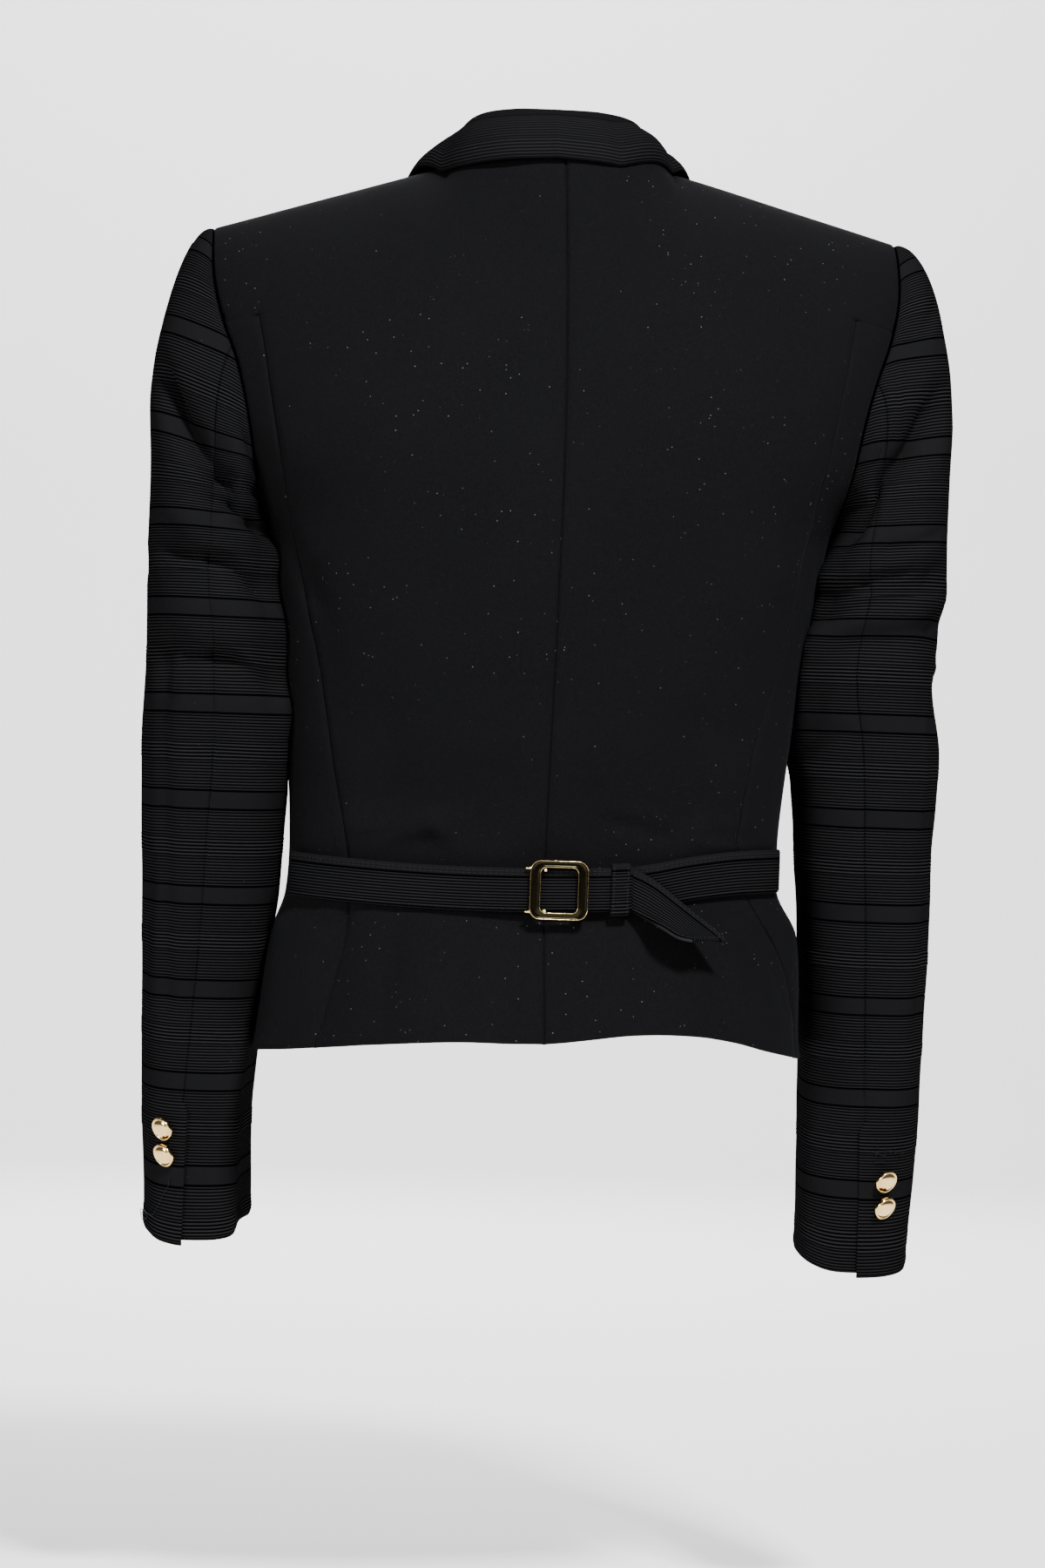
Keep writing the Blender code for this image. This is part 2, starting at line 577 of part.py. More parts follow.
def sleeve_panels(side):
    along = np.concatenate([np.linspace(0, 1, CAP_STEPS + 1) ** 1.1,
                            np.linspace(1, 2, ARM_STEPS + 1)[1:]])[:, None]
    back, front = seam_turn("back_" + side, along), seam_turn("front", along)
    top = back + (front - 1 - back) * np.linspace(0, 1, TOP_STEPS + 1)[None, :]
    under = front + (back - front) * np.linspace(0, 1, UNDER_STEPS + 1)[None, :]
    turn = np.concatenate([top, under[:, 1:] - 1], axis=1)
    grid = sleeve_point(side, turn, np.broadcast_to(along, turn.shape))
    around = np.concatenate([grid[:, -2:-1], grid, grid[:, 1:2]], axis=1)
    middle = np.array([0.197, 0.0, -0.40])
    facing = normals(around, middle)[:, 1:-1]
    shared = facing[:, 0] + facing[:, -1]
    facing[:, 0] = facing[:, -1] = shared / np.linalg.norm(shared, axis=-1, keepdims=True)
    dents = fold_depth(SLEEVE_FOLDS[side], np.mod(turn, 1), grid[..., 2], scale=0.29)
    grid = grid - facing * dents[..., None]
    cut = TOP_STEPS
    cloth_wall("sleeve_top_" + side, handed(side, grid[:, :cut + 1]),
               handed(side, facing[:, :cut + 1]), CLOTH, RIBBED)
    cloth_wall("sleeve_under_" + side, handed(side, grid[:, cut:]),
               handed(side, facing[:, cut:]), CLOTH, RIBBED)


COLLAR_STEPS = 12
COLLAR_LIFT = 0.0052
COLLAR_SHIFT = 0.0050     # the collar sits towards the wearer's left
ROLL_HALF = 0.0026        # half the width of the collar's fold


def height_on_v(side, x):
    """Height at which the V edge lies x from the centre."""
    rise = ((x + LAP) / (NECK_HALF + LAP)) ** (1 / 0.95)
    return BREAK_HEIGHT + rise * (SHOULDER_HEIGHT[side] - BREAK_HEIGHT)


def collar_half(side, along):
    """Rows along half the collar; columns from the sewn edge over the roll to the edge."""
    sewn = np.stack([COLLAR("sewn_x", along), COLLAR("sewn_y", along), 0 * along], -1)
    roll = np.stack([COLLAR("roll_" + axis, along) for axis in "xyz"], -1)
    edge = np.stack([COLLAR("edge_" + axis, along) for axis in "xyz"], -1)
    shift = COLLAR_SHIFT * (1 if side == "left" else -1) * (1 - along ** 2)
    roll[:, 0] += shift
    edge[:, 0] += shift
    behind = sewn[:, 1] >= -1e-6
    on_v = height_on_v(side, np.clip(sewn[:, 0], 0, NECK_HALF))
    sewn[:, 2] = np.where(behind, ridge(side, sewn[:, 0])[1], on_v) + 0.0006
    sewn[:, 0] -= np.where(behind, 0, 0.0022)
    chest = -front_depth(side, sewn[:, 0], sewn[:, 2]) - 0.0006
    sewn[:, 1] = np.where(behind, ridge(side, sewn[:, 0])[0] - 0.0004, chest)
    for line, lift in ((roll, 0.0050), (edge, COLLAR_LIFT)):
        ahead = line[:, 1] < -0.02
        line[:, 2] = np.maximum(line[:, 2], top_height(side, line[:, 0], line[:, 1]) + COLLAR_LIFT)
        chest = -front_depth(side, line[:, 0], line[:, 2]) - lift
        line[:, 1] = np.where(ahead, np.minimum(line[:, 1], chest), line[:, 1])
    away = (edge - sewn) * np.array([1.0, 1.0, 0.0])
    away /= np.linalg.norm(away, axis=-1, keepdims=True)
    up = np.array([0.0, 0.0, 1.0])
    inside, outside = roll - ROLL_HALF * away, roll + ROLL_HALF * away
    bulge = 0.0030 * away + 0.0030 * up
    rows = [sewn, (sewn + inside) / 2, inside, roll + 0.0022 * up, outside,
            (2 * outside + edge) / 3 + bulge, (outside + 2 * edge) / 3 + bulge, edge]
    return np.stack(rows, 1)


def collar():
    along = np.linspace(0, 1, COLLAR_STEPS + 1)
    half = collar_half("left", along)
    other = handed("right", collar_half("right", along)[:0:-1])
    grid = np.concatenate([other, half])
    middle = grid[len(other)]
    below = (middle[0] + middle[-1]) / 2
    cloth_wall("collar", grid, normals(grid, below), COLLAR_CLOTH, RIBBED)


LAPEL_ROWS, LAPEL_COLUMNS = 10, 4
LAPEL_CLOTH = 0.0016
GORGE_DROP = 0.030        # how far the gorge falls on its way out
LAPEL_START = {"left": -0.290, "right": -0.330}


def lapel_grid(side, r, c):
    """Lapel turned back on the front: r from the break to the gorge, c roll to edge."""
    start = LAPEL_START[side]
    row = start + (GORGE_HEIGHT - 0.0012 - start) * r
    roll = front_edge(side, row)
    if side == "left":
        roll = np.maximum(roll, 0.0022 - front_edge("right", row - 0.004))
    outer = LAPEL("outer", row)
    x = roll + (outer - roll) * c
    z = row - GORGE_DROP * c * r ** 2
    lift = 0.0025 + 0.0018 * (1 - c) ** 2 + 0.0010 * c * (1 - c)
    return np.stack([x, -front_depth(side, x, z) - lift, z], -1)


def lapel(side):
    r = np.linspace(0, 1, LAPEL_ROWS + 1)[:, None]
    c = np.linspace(0, 1, LAPEL_COLUMNS + 1)[None, :]
    grid = lapel_grid(side, r + 0 * c, c + 0 * r)
    cloth_wall("lapel_" + side, handed(side, grid), handed(side, normals(grid, AXIS)),
               LAPEL_CLOTH, RIBBED)


# Half belt: height of its middle against distance across, wearer's left positive
BELT = Curve(
    ("across", "height"), (
        (-0.150, -0.4095),
        (-0.108, -0.4118),
        (-0.081, -0.4155),
        (-0.050, -0.4215),
        (-0.008, -0.4243),
        (0.040, -0.4252),
        (0.082, -0.4242),
        (0.120, -0.4222),
        (0.150, -0.4200),
    ))
BELT_WIDTH = 0.0255
BUCKLE_AT = -0.0070       # across, near the centre back
BUCKLE_SIZE = 0.0340
KEEPER_AT = -0.0420
KEEPER_WIDTH = 0.0105
# Loose tip past the keeper: middle line and the direction across, pointing to its upper edge
TIP = Curve(
    ("along", "x", "out", "z", "cross_x", "cross_y", "cross_z"), (
        (0.00, -0.0500, 0.0000, -0.4225, 0.00, 0.00, 1.00),
        (0.22, -0.0600, 0.0015, -0.4270, -0.18, -0.30, 0.93),
        (0.50, -0.0728, 0.0070, -0.4350, -0.50, -0.62, 0.60),
        (0.78, -0.0862, 0.0115, -0.4440, -0.76, -0.56, 0.32),
        (1.00, -0.0964, 0.0130, -0.4498, -0.88, -0.46, -0.04),
    ))


def waist_point(angle, height):
    """Point of the back at an angle from the centre line, either side, and a height."""
    power = 2 / BODY("square", height)
    x = BODY("half_width", height) * np.sign(angle) * np.abs(np.sin(angle)) ** power
    y = BODY("back", height) * np.abs(np.cos(angle)) ** power
    return np.stack([x, y, height + 0 * x], -1)


def belt_grid(angles, lift, steps=4):
    """Band round the waist, its outer face lifted off the back; rows run across it."""
    level = BELT("height", BODY("half_width", -0.42) * np.sin(angles))
    share = np.linspace(-0.5, 0.5, steps + 1)
    heights = level[None, :] + share[:, None] * BELT_WIDTH
    grid = waist_point(angles[None, :] + 0 * heights, heights)
    plan = grid[steps // 2]
    along = np.gradient(plan[:, :2], axis=0)
    out = np.stack([-along[:, 1], along[:, 0], 0 * along[:, 0]], -1)
    out /= np.linalg.norm(out, axis=-1, keepdims=True)
    out *= np.sign(np.sum(out * (plan - np.array(AXIS)), -1))[:, None]
    reach = np.max(np.sum(grid * out[None], -1), 0) - np.sum(plan * out, -1)
    face = plan + out * (reach + lift)[:, None]
    return face[None] * np.array([1, 1, 0]) + grid * np.array([0, 0, 1]), out


def belt_angle(x):
    """Angle round the waist of a distance across."""
    return float(angle_at(np.array(float(x)), np.array(-0.42)))


UNDER_LIFT = BELT_CLOTH + 0.0019
OVER_LIFT = 2 * BELT_CLOTH + 0.0025


BELT_END = 1.31           # angle from the centre back where the straps are sewn down


def sewn_down(angles):
    """The straps close in on the cloth where they are sewn down at the sides."""
    return -0.0006 * smooth_step(np.abs(angles), BELT_END - 0.25, BELT_END)


def belt_right():
    stop = BUCKLE_AT - 0.004
    angles = np.linspace(-BELT_END, belt_angle(stop), 15)
    grid, out = belt_grid(angles, sewn_down(angles) + UNDER_LIFT)
    cloth_wall("belt_strap_right", grid, out[None] + 0 * grid, BELT_CLOTH, RIBBED)


def belt_left():
    """Left strap, on through the buckle and keeper, with its loose tip."""
    side = np.linspace(BELT_END, belt_angle(0.020), 12)
    rest = np.linspace(belt_angle(0.020), belt_angle(-0.049), 8)[1:]
    angles = np.concatenate([side, rest])
    x = BODY("half_width", -0.42) * np.sin(angles)
    lift = UNDER_LIFT + (OVER_LIFT - UNDER_LIFT) * (1 - smooth_step(x, 0.000, 0.050))
    lift = lift + sewn_down(angles)
    grid, _ = belt_grid(angles, lift)
    along = np.linspace(0, 1, 8)[1:]
    middle = np.stack([TIP("x", along), TIP("out", along), TIP("z", along)], -1)
    middle[:, 1] += grid[2, -1, 1] - 0.0006 * along
    cross = np.stack([TIP("cross_" + axis, along) for axis in "xyz"], -1)
    cross /= np.linalg.norm(cross, axis=-1, keepdims=True)
    share = np.linspace(-0.5, 0.5, 5)[:, None, None]
    tip = middle[None] + share * BELT_WIDTH * cross[None]
    grid = np.concatenate([grid, tip], axis=1)
    cloth_wall("belt_strap_left", grid, normals(grid, AXIS), BELT_CLOTH, RIBBED)


def keeper():
    """Loop over both straps: a front with its top and bottom turned back."""
    half = KEEPER_WIDTH / 2
    angles = np.array([belt_angle(KEEPER_AT + s * half) for s in (-1, 0, 1)])
    front, out = belt_grid(angles, OVER_LIFT + 0.0021, steps=2)
    high = BELT_WIDTH / 2 + 0.0024
    profile = ((-1.00, -0.0058), (-1.00, -0.0009), (-0.93, 0.0), (0.0, 0.0002), (0.93, 0.0),
               (1.00, -0.0009), (1.00, -0.0058))
    middle = front[1]
    grid = np.stack([middle + out * depth + np.array([0, 0, share * high])
                     for share, depth in profile])
    inside = middle[1] - out[1] * 0.004
    facing = normals(grid, inside)
    cloth_wall("belt_keeper", grid, facing, 0.0016, RIBBED)


def rounded_square(width, height, corner, steps=4):
    """Outline of a rounded rectangle, as points (across, up)."""
    points = []
    for turn, (sx, sy) in enumerate(((1, 1), (-1, 1), (-1, -1), (1, -1))):
        for k in range(steps + 1):
            angle = math.pi / 2 * (turn + k / steps)
            points.append((sx * (width / 2 - corner) + corner * math.cos(angle),
                           sy * (height / 2 - corner) + corner * math.sin(angle)))
    return np.array(points)


def buckle():
    """Rounded-square frame with heavier side bars, and the bar behind its window."""
    angle = belt_angle(BUCKLE_AT)
    grid, out = belt_grid(np.array([angle - 0.02, angle, angle + 0.02]), OVER_LIFT + 0.0004)
    centre = grid[2, 1]
    out = out[1]
    across = np.array([out[1], -out[0], 0.0])
    up = np.array([0.0, 0.0, 1.0])
    outer = rounded_square(BUCKLE_SIZE, BUCKLE_SIZE, 0.0060)
    inner = rounded_square(BUCKLE_SIZE - 0.0120, BUCKLE_SIZE - 0.0075, 0.0035)
    rings = ((outer * 0.985, 0.0), (outer, 0.0008), (outer, 0.0026), (outer * 0.965, 0.0036),
             (inner * 1.05, 0.0036), (inner, 0.0028), (inner, 0.0))
    bm = bmesh.new()
    loops = []
    for outline, depth in rings:
        ring = [centre + across * p[0] + up * p[1] + out * depth for p in outline]
        loops.append([bm.verts.new(point) for point in ring])
    for near, far in zip(loops, loops[1:] + loops[:1]):
        for i in range(len(near)):
            j = (i + 1) % len(near)
            bm.faces.new((near[i], near[j], far[j], far[i]))
    add_object("buckle_frame", bm, GUNMETAL)


BUTTON_SIDES = 16


def button(name, centre, axis, radius):
    """Domed button with a raised rim, turned about its axis; centre is on its back."""
    axis = np.asarray(axis, float) / np.linalg.norm(axis)
    first = np.cross(axis, (0.0, 0.0, 1.0))
    first /= np.linalg.norm(first)
    second = np.cross(axis, first)
    profile = ((0.90, 0.0), (1.0, 0.10), (1.0, 0.30), (0.93, 0.40), (0.84, 0.34), (0.55, 0.56))
    bm = bmesh.new()
    rings = []
    for share, rise in profile:
        ring = []
        for k in range(BUTTON_SIDES):
            angle = 2 * math.pi * k / BUTTON_SIDES
            spoke = first * math.cos(angle) + second * math.sin(angle)
            ring.append(bm.verts.new(centre + radius * (share * spoke + rise * axis)))
        rings.append(ring)
    for near, far in zip(rings, rings[1:]):
        for i in range(BUTTON_SIDES):
            j = (i + 1) % BUTTON_SIDES
            bm.faces.new((near[i], near[j], far[j], far[i]))
    bm.faces.new(rings[0][::-1])
    top = bm.verts.new(centre + radius * 0.64 * axis)
    for i in range(BUTTON_SIDES):
        bm.faces.new((rings[-1][i], rings[-1][(i + 1) % BUTTON_SIDES], top))
    add_object(name, bm, GOLD)


# Cuff buttons: height of each, and the turn round the sleeve, just outside the vent
CUFF_BUTTONS = {
    "left": ((0.174, -0.5715), (0.177, -0.5872)),
    "right": ((0.214, -0.5905), (0.212, -0.6066)),
}
CUFF_BUTTON_RADIUS = 0.0074
CUFF_BUTTON_LIFT = 0.0014
FRONT_BUTTONS = (-0.352, -0.430)
FRONT_BUTTON_RADIUS = 0.0100
FRONT_BUTTON_LIFT = 0.0004


def buttons():
    for side in ("left", "right"):
        for i, (turn, height) in enumerate(CUFF_BUTTONS[side]):
            spots = [arm_point(side, np.array(turn + d), np.array(height + e))
                     for d, e in ((0, 0), (0.01, 0), (0, 0.01))]
            axis = np.cross(spots[1] - spots[0], spots[2] - spots[0])
            axis /= np.linalg.norm(axis)
            tilt = 0.16 if i else -0.16
            lean = axis + tilt * np.array([0.0, 0.0, 1.0])
            place = spots[0] + axis * CUFF_BUTTON_LIFT
            button("cuff_button_%s_%d" % (side, i + 1), handed(side, place),
                   handed(side, lean), CUFF_BUTTON_RADIUS)
    for i, height in enumerate(FRONT_BUTTONS):
        heights = height + FRONT_BUTTON_RADIUS * np.array([-1.0, 0.0, 1.0])
        depth = front_depth("right", 0 * heights, heights)
        axis = np.array([0.0, -2 * FRONT_BUTTON_RADIUS, depth[0] - depth[2]])
        axis /= np.linalg.norm(axis)
        place = np.array([0.0, -depth[1], height]) + FRONT_BUTTON_LIFT * axis
        button("front_button_%d" % (i + 1), place, axis, FRONT_BUTTON_RADIUS)


def main():
    for obj in list(bpy.data.objects):
        bpy.data.objects.remove(obj, do_unlink=True)
    bpy.context.scene.collection.children.link(bpy.data.collections.new("cropped_blazer"))
    for side in ("left", "right"):
        body_panels(side)
        sleeve_panels(side)
        lapel(side)
    collar()
    belt_right()
    belt_left()
    keeper()
    buckle()
    buttons()


main()
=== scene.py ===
"""Looks of the cropped blazer: fine cloth on the forms of its solids, metal and stage.

Metres, +Z up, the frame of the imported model. Each cloth piece is rebuilt from the same
named sizes as its solid, on a finer grid, with the finer creases, seams and ribs.
"""
import json
import math

import bpy
import numpy as np
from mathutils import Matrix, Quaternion, Vector

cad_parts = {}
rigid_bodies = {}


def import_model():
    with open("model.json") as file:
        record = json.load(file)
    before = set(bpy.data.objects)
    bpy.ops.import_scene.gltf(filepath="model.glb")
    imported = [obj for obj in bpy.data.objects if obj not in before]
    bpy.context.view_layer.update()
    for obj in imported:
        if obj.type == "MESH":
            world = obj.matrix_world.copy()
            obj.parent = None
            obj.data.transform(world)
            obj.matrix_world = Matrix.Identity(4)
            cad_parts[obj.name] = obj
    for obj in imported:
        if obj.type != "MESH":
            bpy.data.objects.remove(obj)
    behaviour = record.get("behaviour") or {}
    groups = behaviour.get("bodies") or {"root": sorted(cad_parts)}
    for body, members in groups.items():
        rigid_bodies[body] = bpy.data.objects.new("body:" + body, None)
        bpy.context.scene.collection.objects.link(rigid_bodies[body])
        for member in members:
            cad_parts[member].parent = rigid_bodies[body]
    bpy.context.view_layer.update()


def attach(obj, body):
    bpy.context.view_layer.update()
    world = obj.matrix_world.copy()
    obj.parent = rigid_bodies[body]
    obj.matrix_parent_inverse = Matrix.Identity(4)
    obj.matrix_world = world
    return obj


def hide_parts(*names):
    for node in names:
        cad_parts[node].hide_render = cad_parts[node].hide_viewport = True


# ---------------------------------------------------------------- forms of the garment

# Driving sizes
CLOTH = 0.0018            # wall of the crepe body and the ribbed sleeves
COLLAR_CLOTH = 0.0020
BELT_CLOTH = 0.0026       # two layers, stitched
ARMHOLE_GAP = 0.0005      # and where the sleeve meets the body
ARMPIT = -0.207           # height of the armholes' lowest point
NECK_HALF = 0.066         # from the centre to where shoulder seam and collar meet
NECK_BACK_DEPTH = 0.052
NECK_BACK_HEIGHT = 0.016
SHOULDER_SLOPE = {"left": 0.312, "right": 0.270}
SHOULDER_HEIGHT = {"left": 0.0040, "right": 0.0062}  # at the seam's neck end
SHOULDER_ROUND = 2.8      # how late the back turns over the shoulder
LAP = 0.020               # right front over left, past the centre
LAP_LIFT = 0.0032
BELT_HEIGHT = -0.421      # where the belt holds the cloth flat
BREAK_HEIGHT = -0.335     # where the lapels start to roll
GORGE_HEIGHT = -0.070     # where lapel and collar meet at the roll line


def blend(t, start, stop, leave, arrive):
    """Smooth way from start to stop with these slopes, as t goes from 0 to 1."""
    ends = (1 + 2 * t) * (1 - t) ** 2 * start + t * t * (3 - 2 * t) * stop
    return ends + t * (1 - t) ** 2 * leave - t * t * (1 - t) * arrive


def unit(vectors):
    """The same directions with a length of 1."""
    return vectors / np.linalg.norm(vectors, axis=-1, keepdims=True)


def bell(distance, width):
    """1 at no distance, fading out over about this width."""
    return np.exp(-(distance / width) ** 2)


class Curve:
    """Smooth curves through a short table, read against its first column."""

    def __init__(self, names, rows):
        columns = np.array(rows, float).T
        self.knots = columns[0]
        self.values = dict(zip(names[1:], columns[1:]))
        self.slopes = {n: np.gradient(v, self.knots) for n, v in self.values.items()}

    def __call__(self, name, at):
        at = np.clip(at, self.knots[0], self.knots[-1])
        i = np.clip(np.searchsorted(self.knots, at) - 1, 0, len(self.knots) - 2)
        step = self.knots[i + 1] - self.knots[i]
        value, slope = self.values[name], self.slopes[name]
        return blend((at - self.knots[i]) / step, value[i], value[i + 1],
                     step * slope[i], step * slope[i + 1])

    def xyz(self, at, before=""):
        """Points from the columns x, y and z, with this word before their names."""
        return np.stack([self(before + axis, at) for axis in "xyz"], -1)


# Level sections of the body, from under the hem to the neck
BODY = Curve(
    ("height", "half_width", "back", "front", "square"), (
        (-0.560, 0.1690, 0.128, 0.128, 2.30),
        (-0.510, 0.1620, 0.114, 0.124, 2.30),
        (-0.465, 0.1535, 0.094, 0.120, 2.25),
        (-0.425, 0.1470, 0.080, 0.116, 2.20),
        (-0.385, 0.1470, 0.080, 0.118, 2.20),
        (-0.335, 0.1515, 0.090, 0.130, 2.20),
        (-0.285, 0.1585, 0.101, 0.142, 2.25),
        (-0.240, 0.1655, 0.108, 0.146, 2.30),
        (-0.207, 0.1715, 0.112, 0.140, 2.35),
        (-0.170, 0.1920, 0.114, 0.128, 2.40),
        (-0.130, 0.2040, 0.113, 0.112, 2.45),
        (-0.090, 0.2130, 0.109, 0.098, 2.50),
        (-0.040, 0.2220, 0.102, 0.086, 2.50),
        (0.025, 0.2260, 0.094, 0.078, 2.50),
    ))
# Armhole edge: distance from the centre, on the back and on the front
ARMHOLE = Curve(
    ("height", "back", "front"), (
        (-0.207, 0.1715, 0.1715),
        (-0.195, 0.1740, 0.1670),
        (-0.175, 0.1775, 0.1640),
        (-0.150, 0.1820, 0.1640),
        (-0.120, 0.1895, 0.1690),
        (-0.095, 0.1985, 0.1790),
        (-0.070, 0.2040, 0.1910),
        (-0.035, 0.2045, 0.2045),
    ))
# Side-back seam: distance from the centre on each side
SIDE_SEAM = Curve(
    ("height", "left", "right"), (
        (-0.550, 0.1380, 0.1610),
        (-0.515, 0.1300, 0.1570),
        (-0.485, 0.1222, 0.1500),
        (-0.460, 0.1158, 0.1395),
        (-0.438, 0.1130, 0.1290),
        (-0.408, 0.1146, 0.1175),
        (-0.384, 0.1188, 0.1172),
        (-0.362, 0.1230, 0.1195),
        (-0.328, 0.1296, 0.1258),
        (-0.296, 0.1358, 0.1350),
        (-0.266, 0.1434, 0.1435),
        (-0.236, 0.1507, 0.1490),
        (-0.186, 0.1606, 0.1562),
        (-0.143, 0.1690, 0.1640),
        (-0.104, 0.1761, 0.1713),
        (-0.083, 0.1810, 0.1753),
        (0.000, 0.1900, 0.1860),
    ))
STEP_HEIGHT = {"left": -0.0945, "right": -0.0825}  # the side-back panel's square top
# Hem height against the share of the way round, from centre back to centre front
HEM = Curve(
    ("around", "left", "right"), (
        (0.00, -0.5127, -0.5127),
        (0.10, -0.5137, -0.5061),
        (0.20, -0.5173, -0.5075),
        (0.30, -0.5215, -0.5151),
        (0.40, -0.5243, -0.5201),
        (0.50, -0.5265, -0.5225),
        (0.70, -0.5200, -0.5150),
        (1.00, -0.5130, -0.5130),
        (1.10, -0.5130, -0.5130),
    ))
# The skirt springs out at the sides below the belt: heights where this starts and is
# full, and its reach
SKIRT = {"left": (-0.432, -0.456, 0.0035), "right": (-0.4215, -0.4490, 0.0090)}
SKIRT_END = -0.520
# Collar of one half, from centre back (0) round to the gorge (1): its sewn edge, its
# roll line and its outer edge
COLLAR = Curve(
    ("along", "sewn_x", "sewn_y", "roll_x", "roll_y", "roll_z", "edge_x", "edge_y", "edge_z"), (
        (0.00, 0.000, 0.052, 0.0000, 0.0500, 0.0325, 0.0000, 0.0640, 0.0050),
        (0.14, 0.024, 0.048, 0.0255, 0.0450, 0.0325, 0.0300, 0.0590, 0.0035),
        (0.28, 0.045, 0.038, 0.0450, 0.0330, 0.0300, 0.0540, 0.0430, 0.0005),
        (0.42, 0.059, 0.023, 0.0550, 0.0150, 0.0230, 0.0720, 0.0180, -0.0030),
        (0.56, 0.066, 0.000, 0.0600, -0.0080, 0.0120, 0.0845, -0.0100, -0.0100),
        (0.75, 0.060, -0.030, 0.0580, -0.0350, -0.0110, 0.0890, -0.0400, -0.0270),
        (1.00, 0.0475, -0.070, 0.0475, -0.0740, -0.0650, 0.0840, -0.0780, -0.0740),
    ))
# Lapel: outer edge's distance from the centre against height at the roll line
LAPEL = Curve(
    ("height", "outer"), (
        (-0.335, -0.018),
        (-0.300, 0.014),
        (-0.250, 0.050),
        (-0.200, 0.080),
        (-0.150, 0.103),
        (-0.110, 0.116),
        (-0.070, 0.122),
    ))
# Sleeve below its cap: level sections of the hanging arm, each side hanging its own way
ARM = Curve(
    ("height", "left_in", "left_out", "right_in", "right_out", "centre_y", "half_depth", "tilt"), (
        (-0.660, 0.1600, 0.2240, 0.1740, 0.2395, -0.0530, 0.0400, 0.11),
        (-0.630, 0.1595, 0.2250, 0.1735, 0.2405, -0.0500, 0.0400, 0.11),
        (-0.560, 0.1605, 0.2290, 0.1720, 0.2445, -0.0460, 0.0415, 0.11),
        (-0.500, 0.1560, 0.2310, 0.1695, 0.2445, -0.0400, 0.0430, 0.10),
        (-0.440, 0.1508, 0.2330, 0.1650, 0.2440, -0.0280, 0.0450, 0.08),
        (-0.390, 0.1482, 0.2350, 0.1605, 0.2425, -0.0200, 0.0480, 0.05),
        (-0.365, 0.1455, 0.2358, 0.1582, 0.2432, -0.0153, 0.0500, 0.035),
        (-0.340, 0.1450, 0.2365, 0.1555, 0.2435, -0.0110, 0.0520, 0.02),
        (-0.290, 0.1525, 0.2350, 0.1520, 0.2355, -0.0040, 0.0570, 0.0),
        (-0.245, 0.1620, 0.2360, 0.1620, 0.2395, 0.0000, 0.0610, 0.0),
    ))
ARM_TOP = -0.245
CUFF = {"left": -0.634, "right": -0.643}
ARM_SQUARE = 2.70
# Sleeve seams as turns round the arm, from the outside towards the back
SLEEVE_SEAM = Curve(
    ("height", "back_left", "back_right", "front"), (
        (-0.660, 0.195, 0.244, 0.680),
        (-0.500, 0.232, 0.256, 0.680),
        (-0.350, 0.244, 0.265, 0.680),
        (-0.250, 0.245, 0.280, 0.680),
        (-0.200, 0.246, 0.289, 0.680),
        (-0.110, 0.215, 0.240, 0.680),
    ))
CAP = Curve(
    ("turn", "x", "y", "z"), (
        (0.00, 0.100, 0.000, 0.014),
        (0.12, 0.080, 0.012, 0.000),
        (0.25, 0.052, 0.020, -0.030),
        (0.40, 0.030, 0.004, -0.020),
        (0.50, 0.016, 0.000, -0.014),
        (0.60, 0.030, -0.010, -0.020),
        (0.75, 0.060, -0.026, -0.030),
        (0.88, 0.080, -0.014, 0.000),
        (1.00, 0.100, 0.000, 0.014),
    ))
CAP_PULL = {"left": 0.72, "right": 1.05}
CAP_BULGE = {"left": 0.0060, "right": 0.0045}  # fullness of the upper arm, outside
# Largest folds: each runs from a to b; across is turns on a sleeve, and the distance
# from the centre on the body. A negative depth is a ridge.
FOLD_COLUMNS = ("across_a", "height_a", "across_b", "height_b", "half_width", "depth")
SLEEVE_FOLDS = {
    "left": (
        (0.09, -0.134, 0.29, -0.196, 0.012, 0.0055),
        (0.25, -0.203, 0.40, -0.216, 0.011, 0.0050),
        (0.14, -0.232, 0.36, -0.252, 0.012, 0.0040),
        (0.14, -0.292, 0.40, -0.306, 0.014, 0.0040),
    ),
    "right": (
        (0.13, -0.130, 0.36, -0.202, 0.012, 0.0058),
        (0.14, -0.235, 0.40, -0.252, 0.012, 0.0050),
        (0.10, -0.262, 0.30, -0.274, 0.013, 0.0042),
    ),
}
BODY_FOLDS = {
    "left": (
        (0.112, -0.440, 0.134, -0.525, 0.012, 0.0055),
        (0.105, -0.392, 0.062, -0.388, 0.011, -0.0048),
        (0.071, -0.462, 0.078, -0.535, 0.019, -0.0038),
    ),
    "right": (
        (0.136, -0.438, 0.158, -0.520, 0.012, 0.0055),
        (0.118, -0.398, 0.096, -0.392, 0.011, -0.0035),
        (0.076, -0.460, 0.085, -0.530, 0.019, -0.0038),
    ),
}


FOLD_ENDS = 1.3           # a fold fades over this many half widths past its ends
FOLD_BESIDE = 0.35        # share of its depth that is pushed the other way beside it


def seam_height(side, x):
    """Height of the shoulder seam at a distance x, level inside the neck."""
    return SHOULDER_HEIGHT[side] - SHOULDER_SLOPE[side] * np.maximum(x - NECK_HALF, 0)


def ridge(side, x):
    """Depth and height of the neckline and the shoulder seam at a distance x."""
    share = np.clip(x / NECK_HALF, 0, 1)
    depth = NECK_BACK_DEPTH * np.sqrt(np.maximum(1 - share ** 2, 0))
    low = SHOULDER_HEIGHT[side]
    neck = low + (NECK_BACK_HEIGHT - low) * (1 - share ** 2)
    return depth, np.where(x < NECK_HALF, neck, seam_height(side, x))


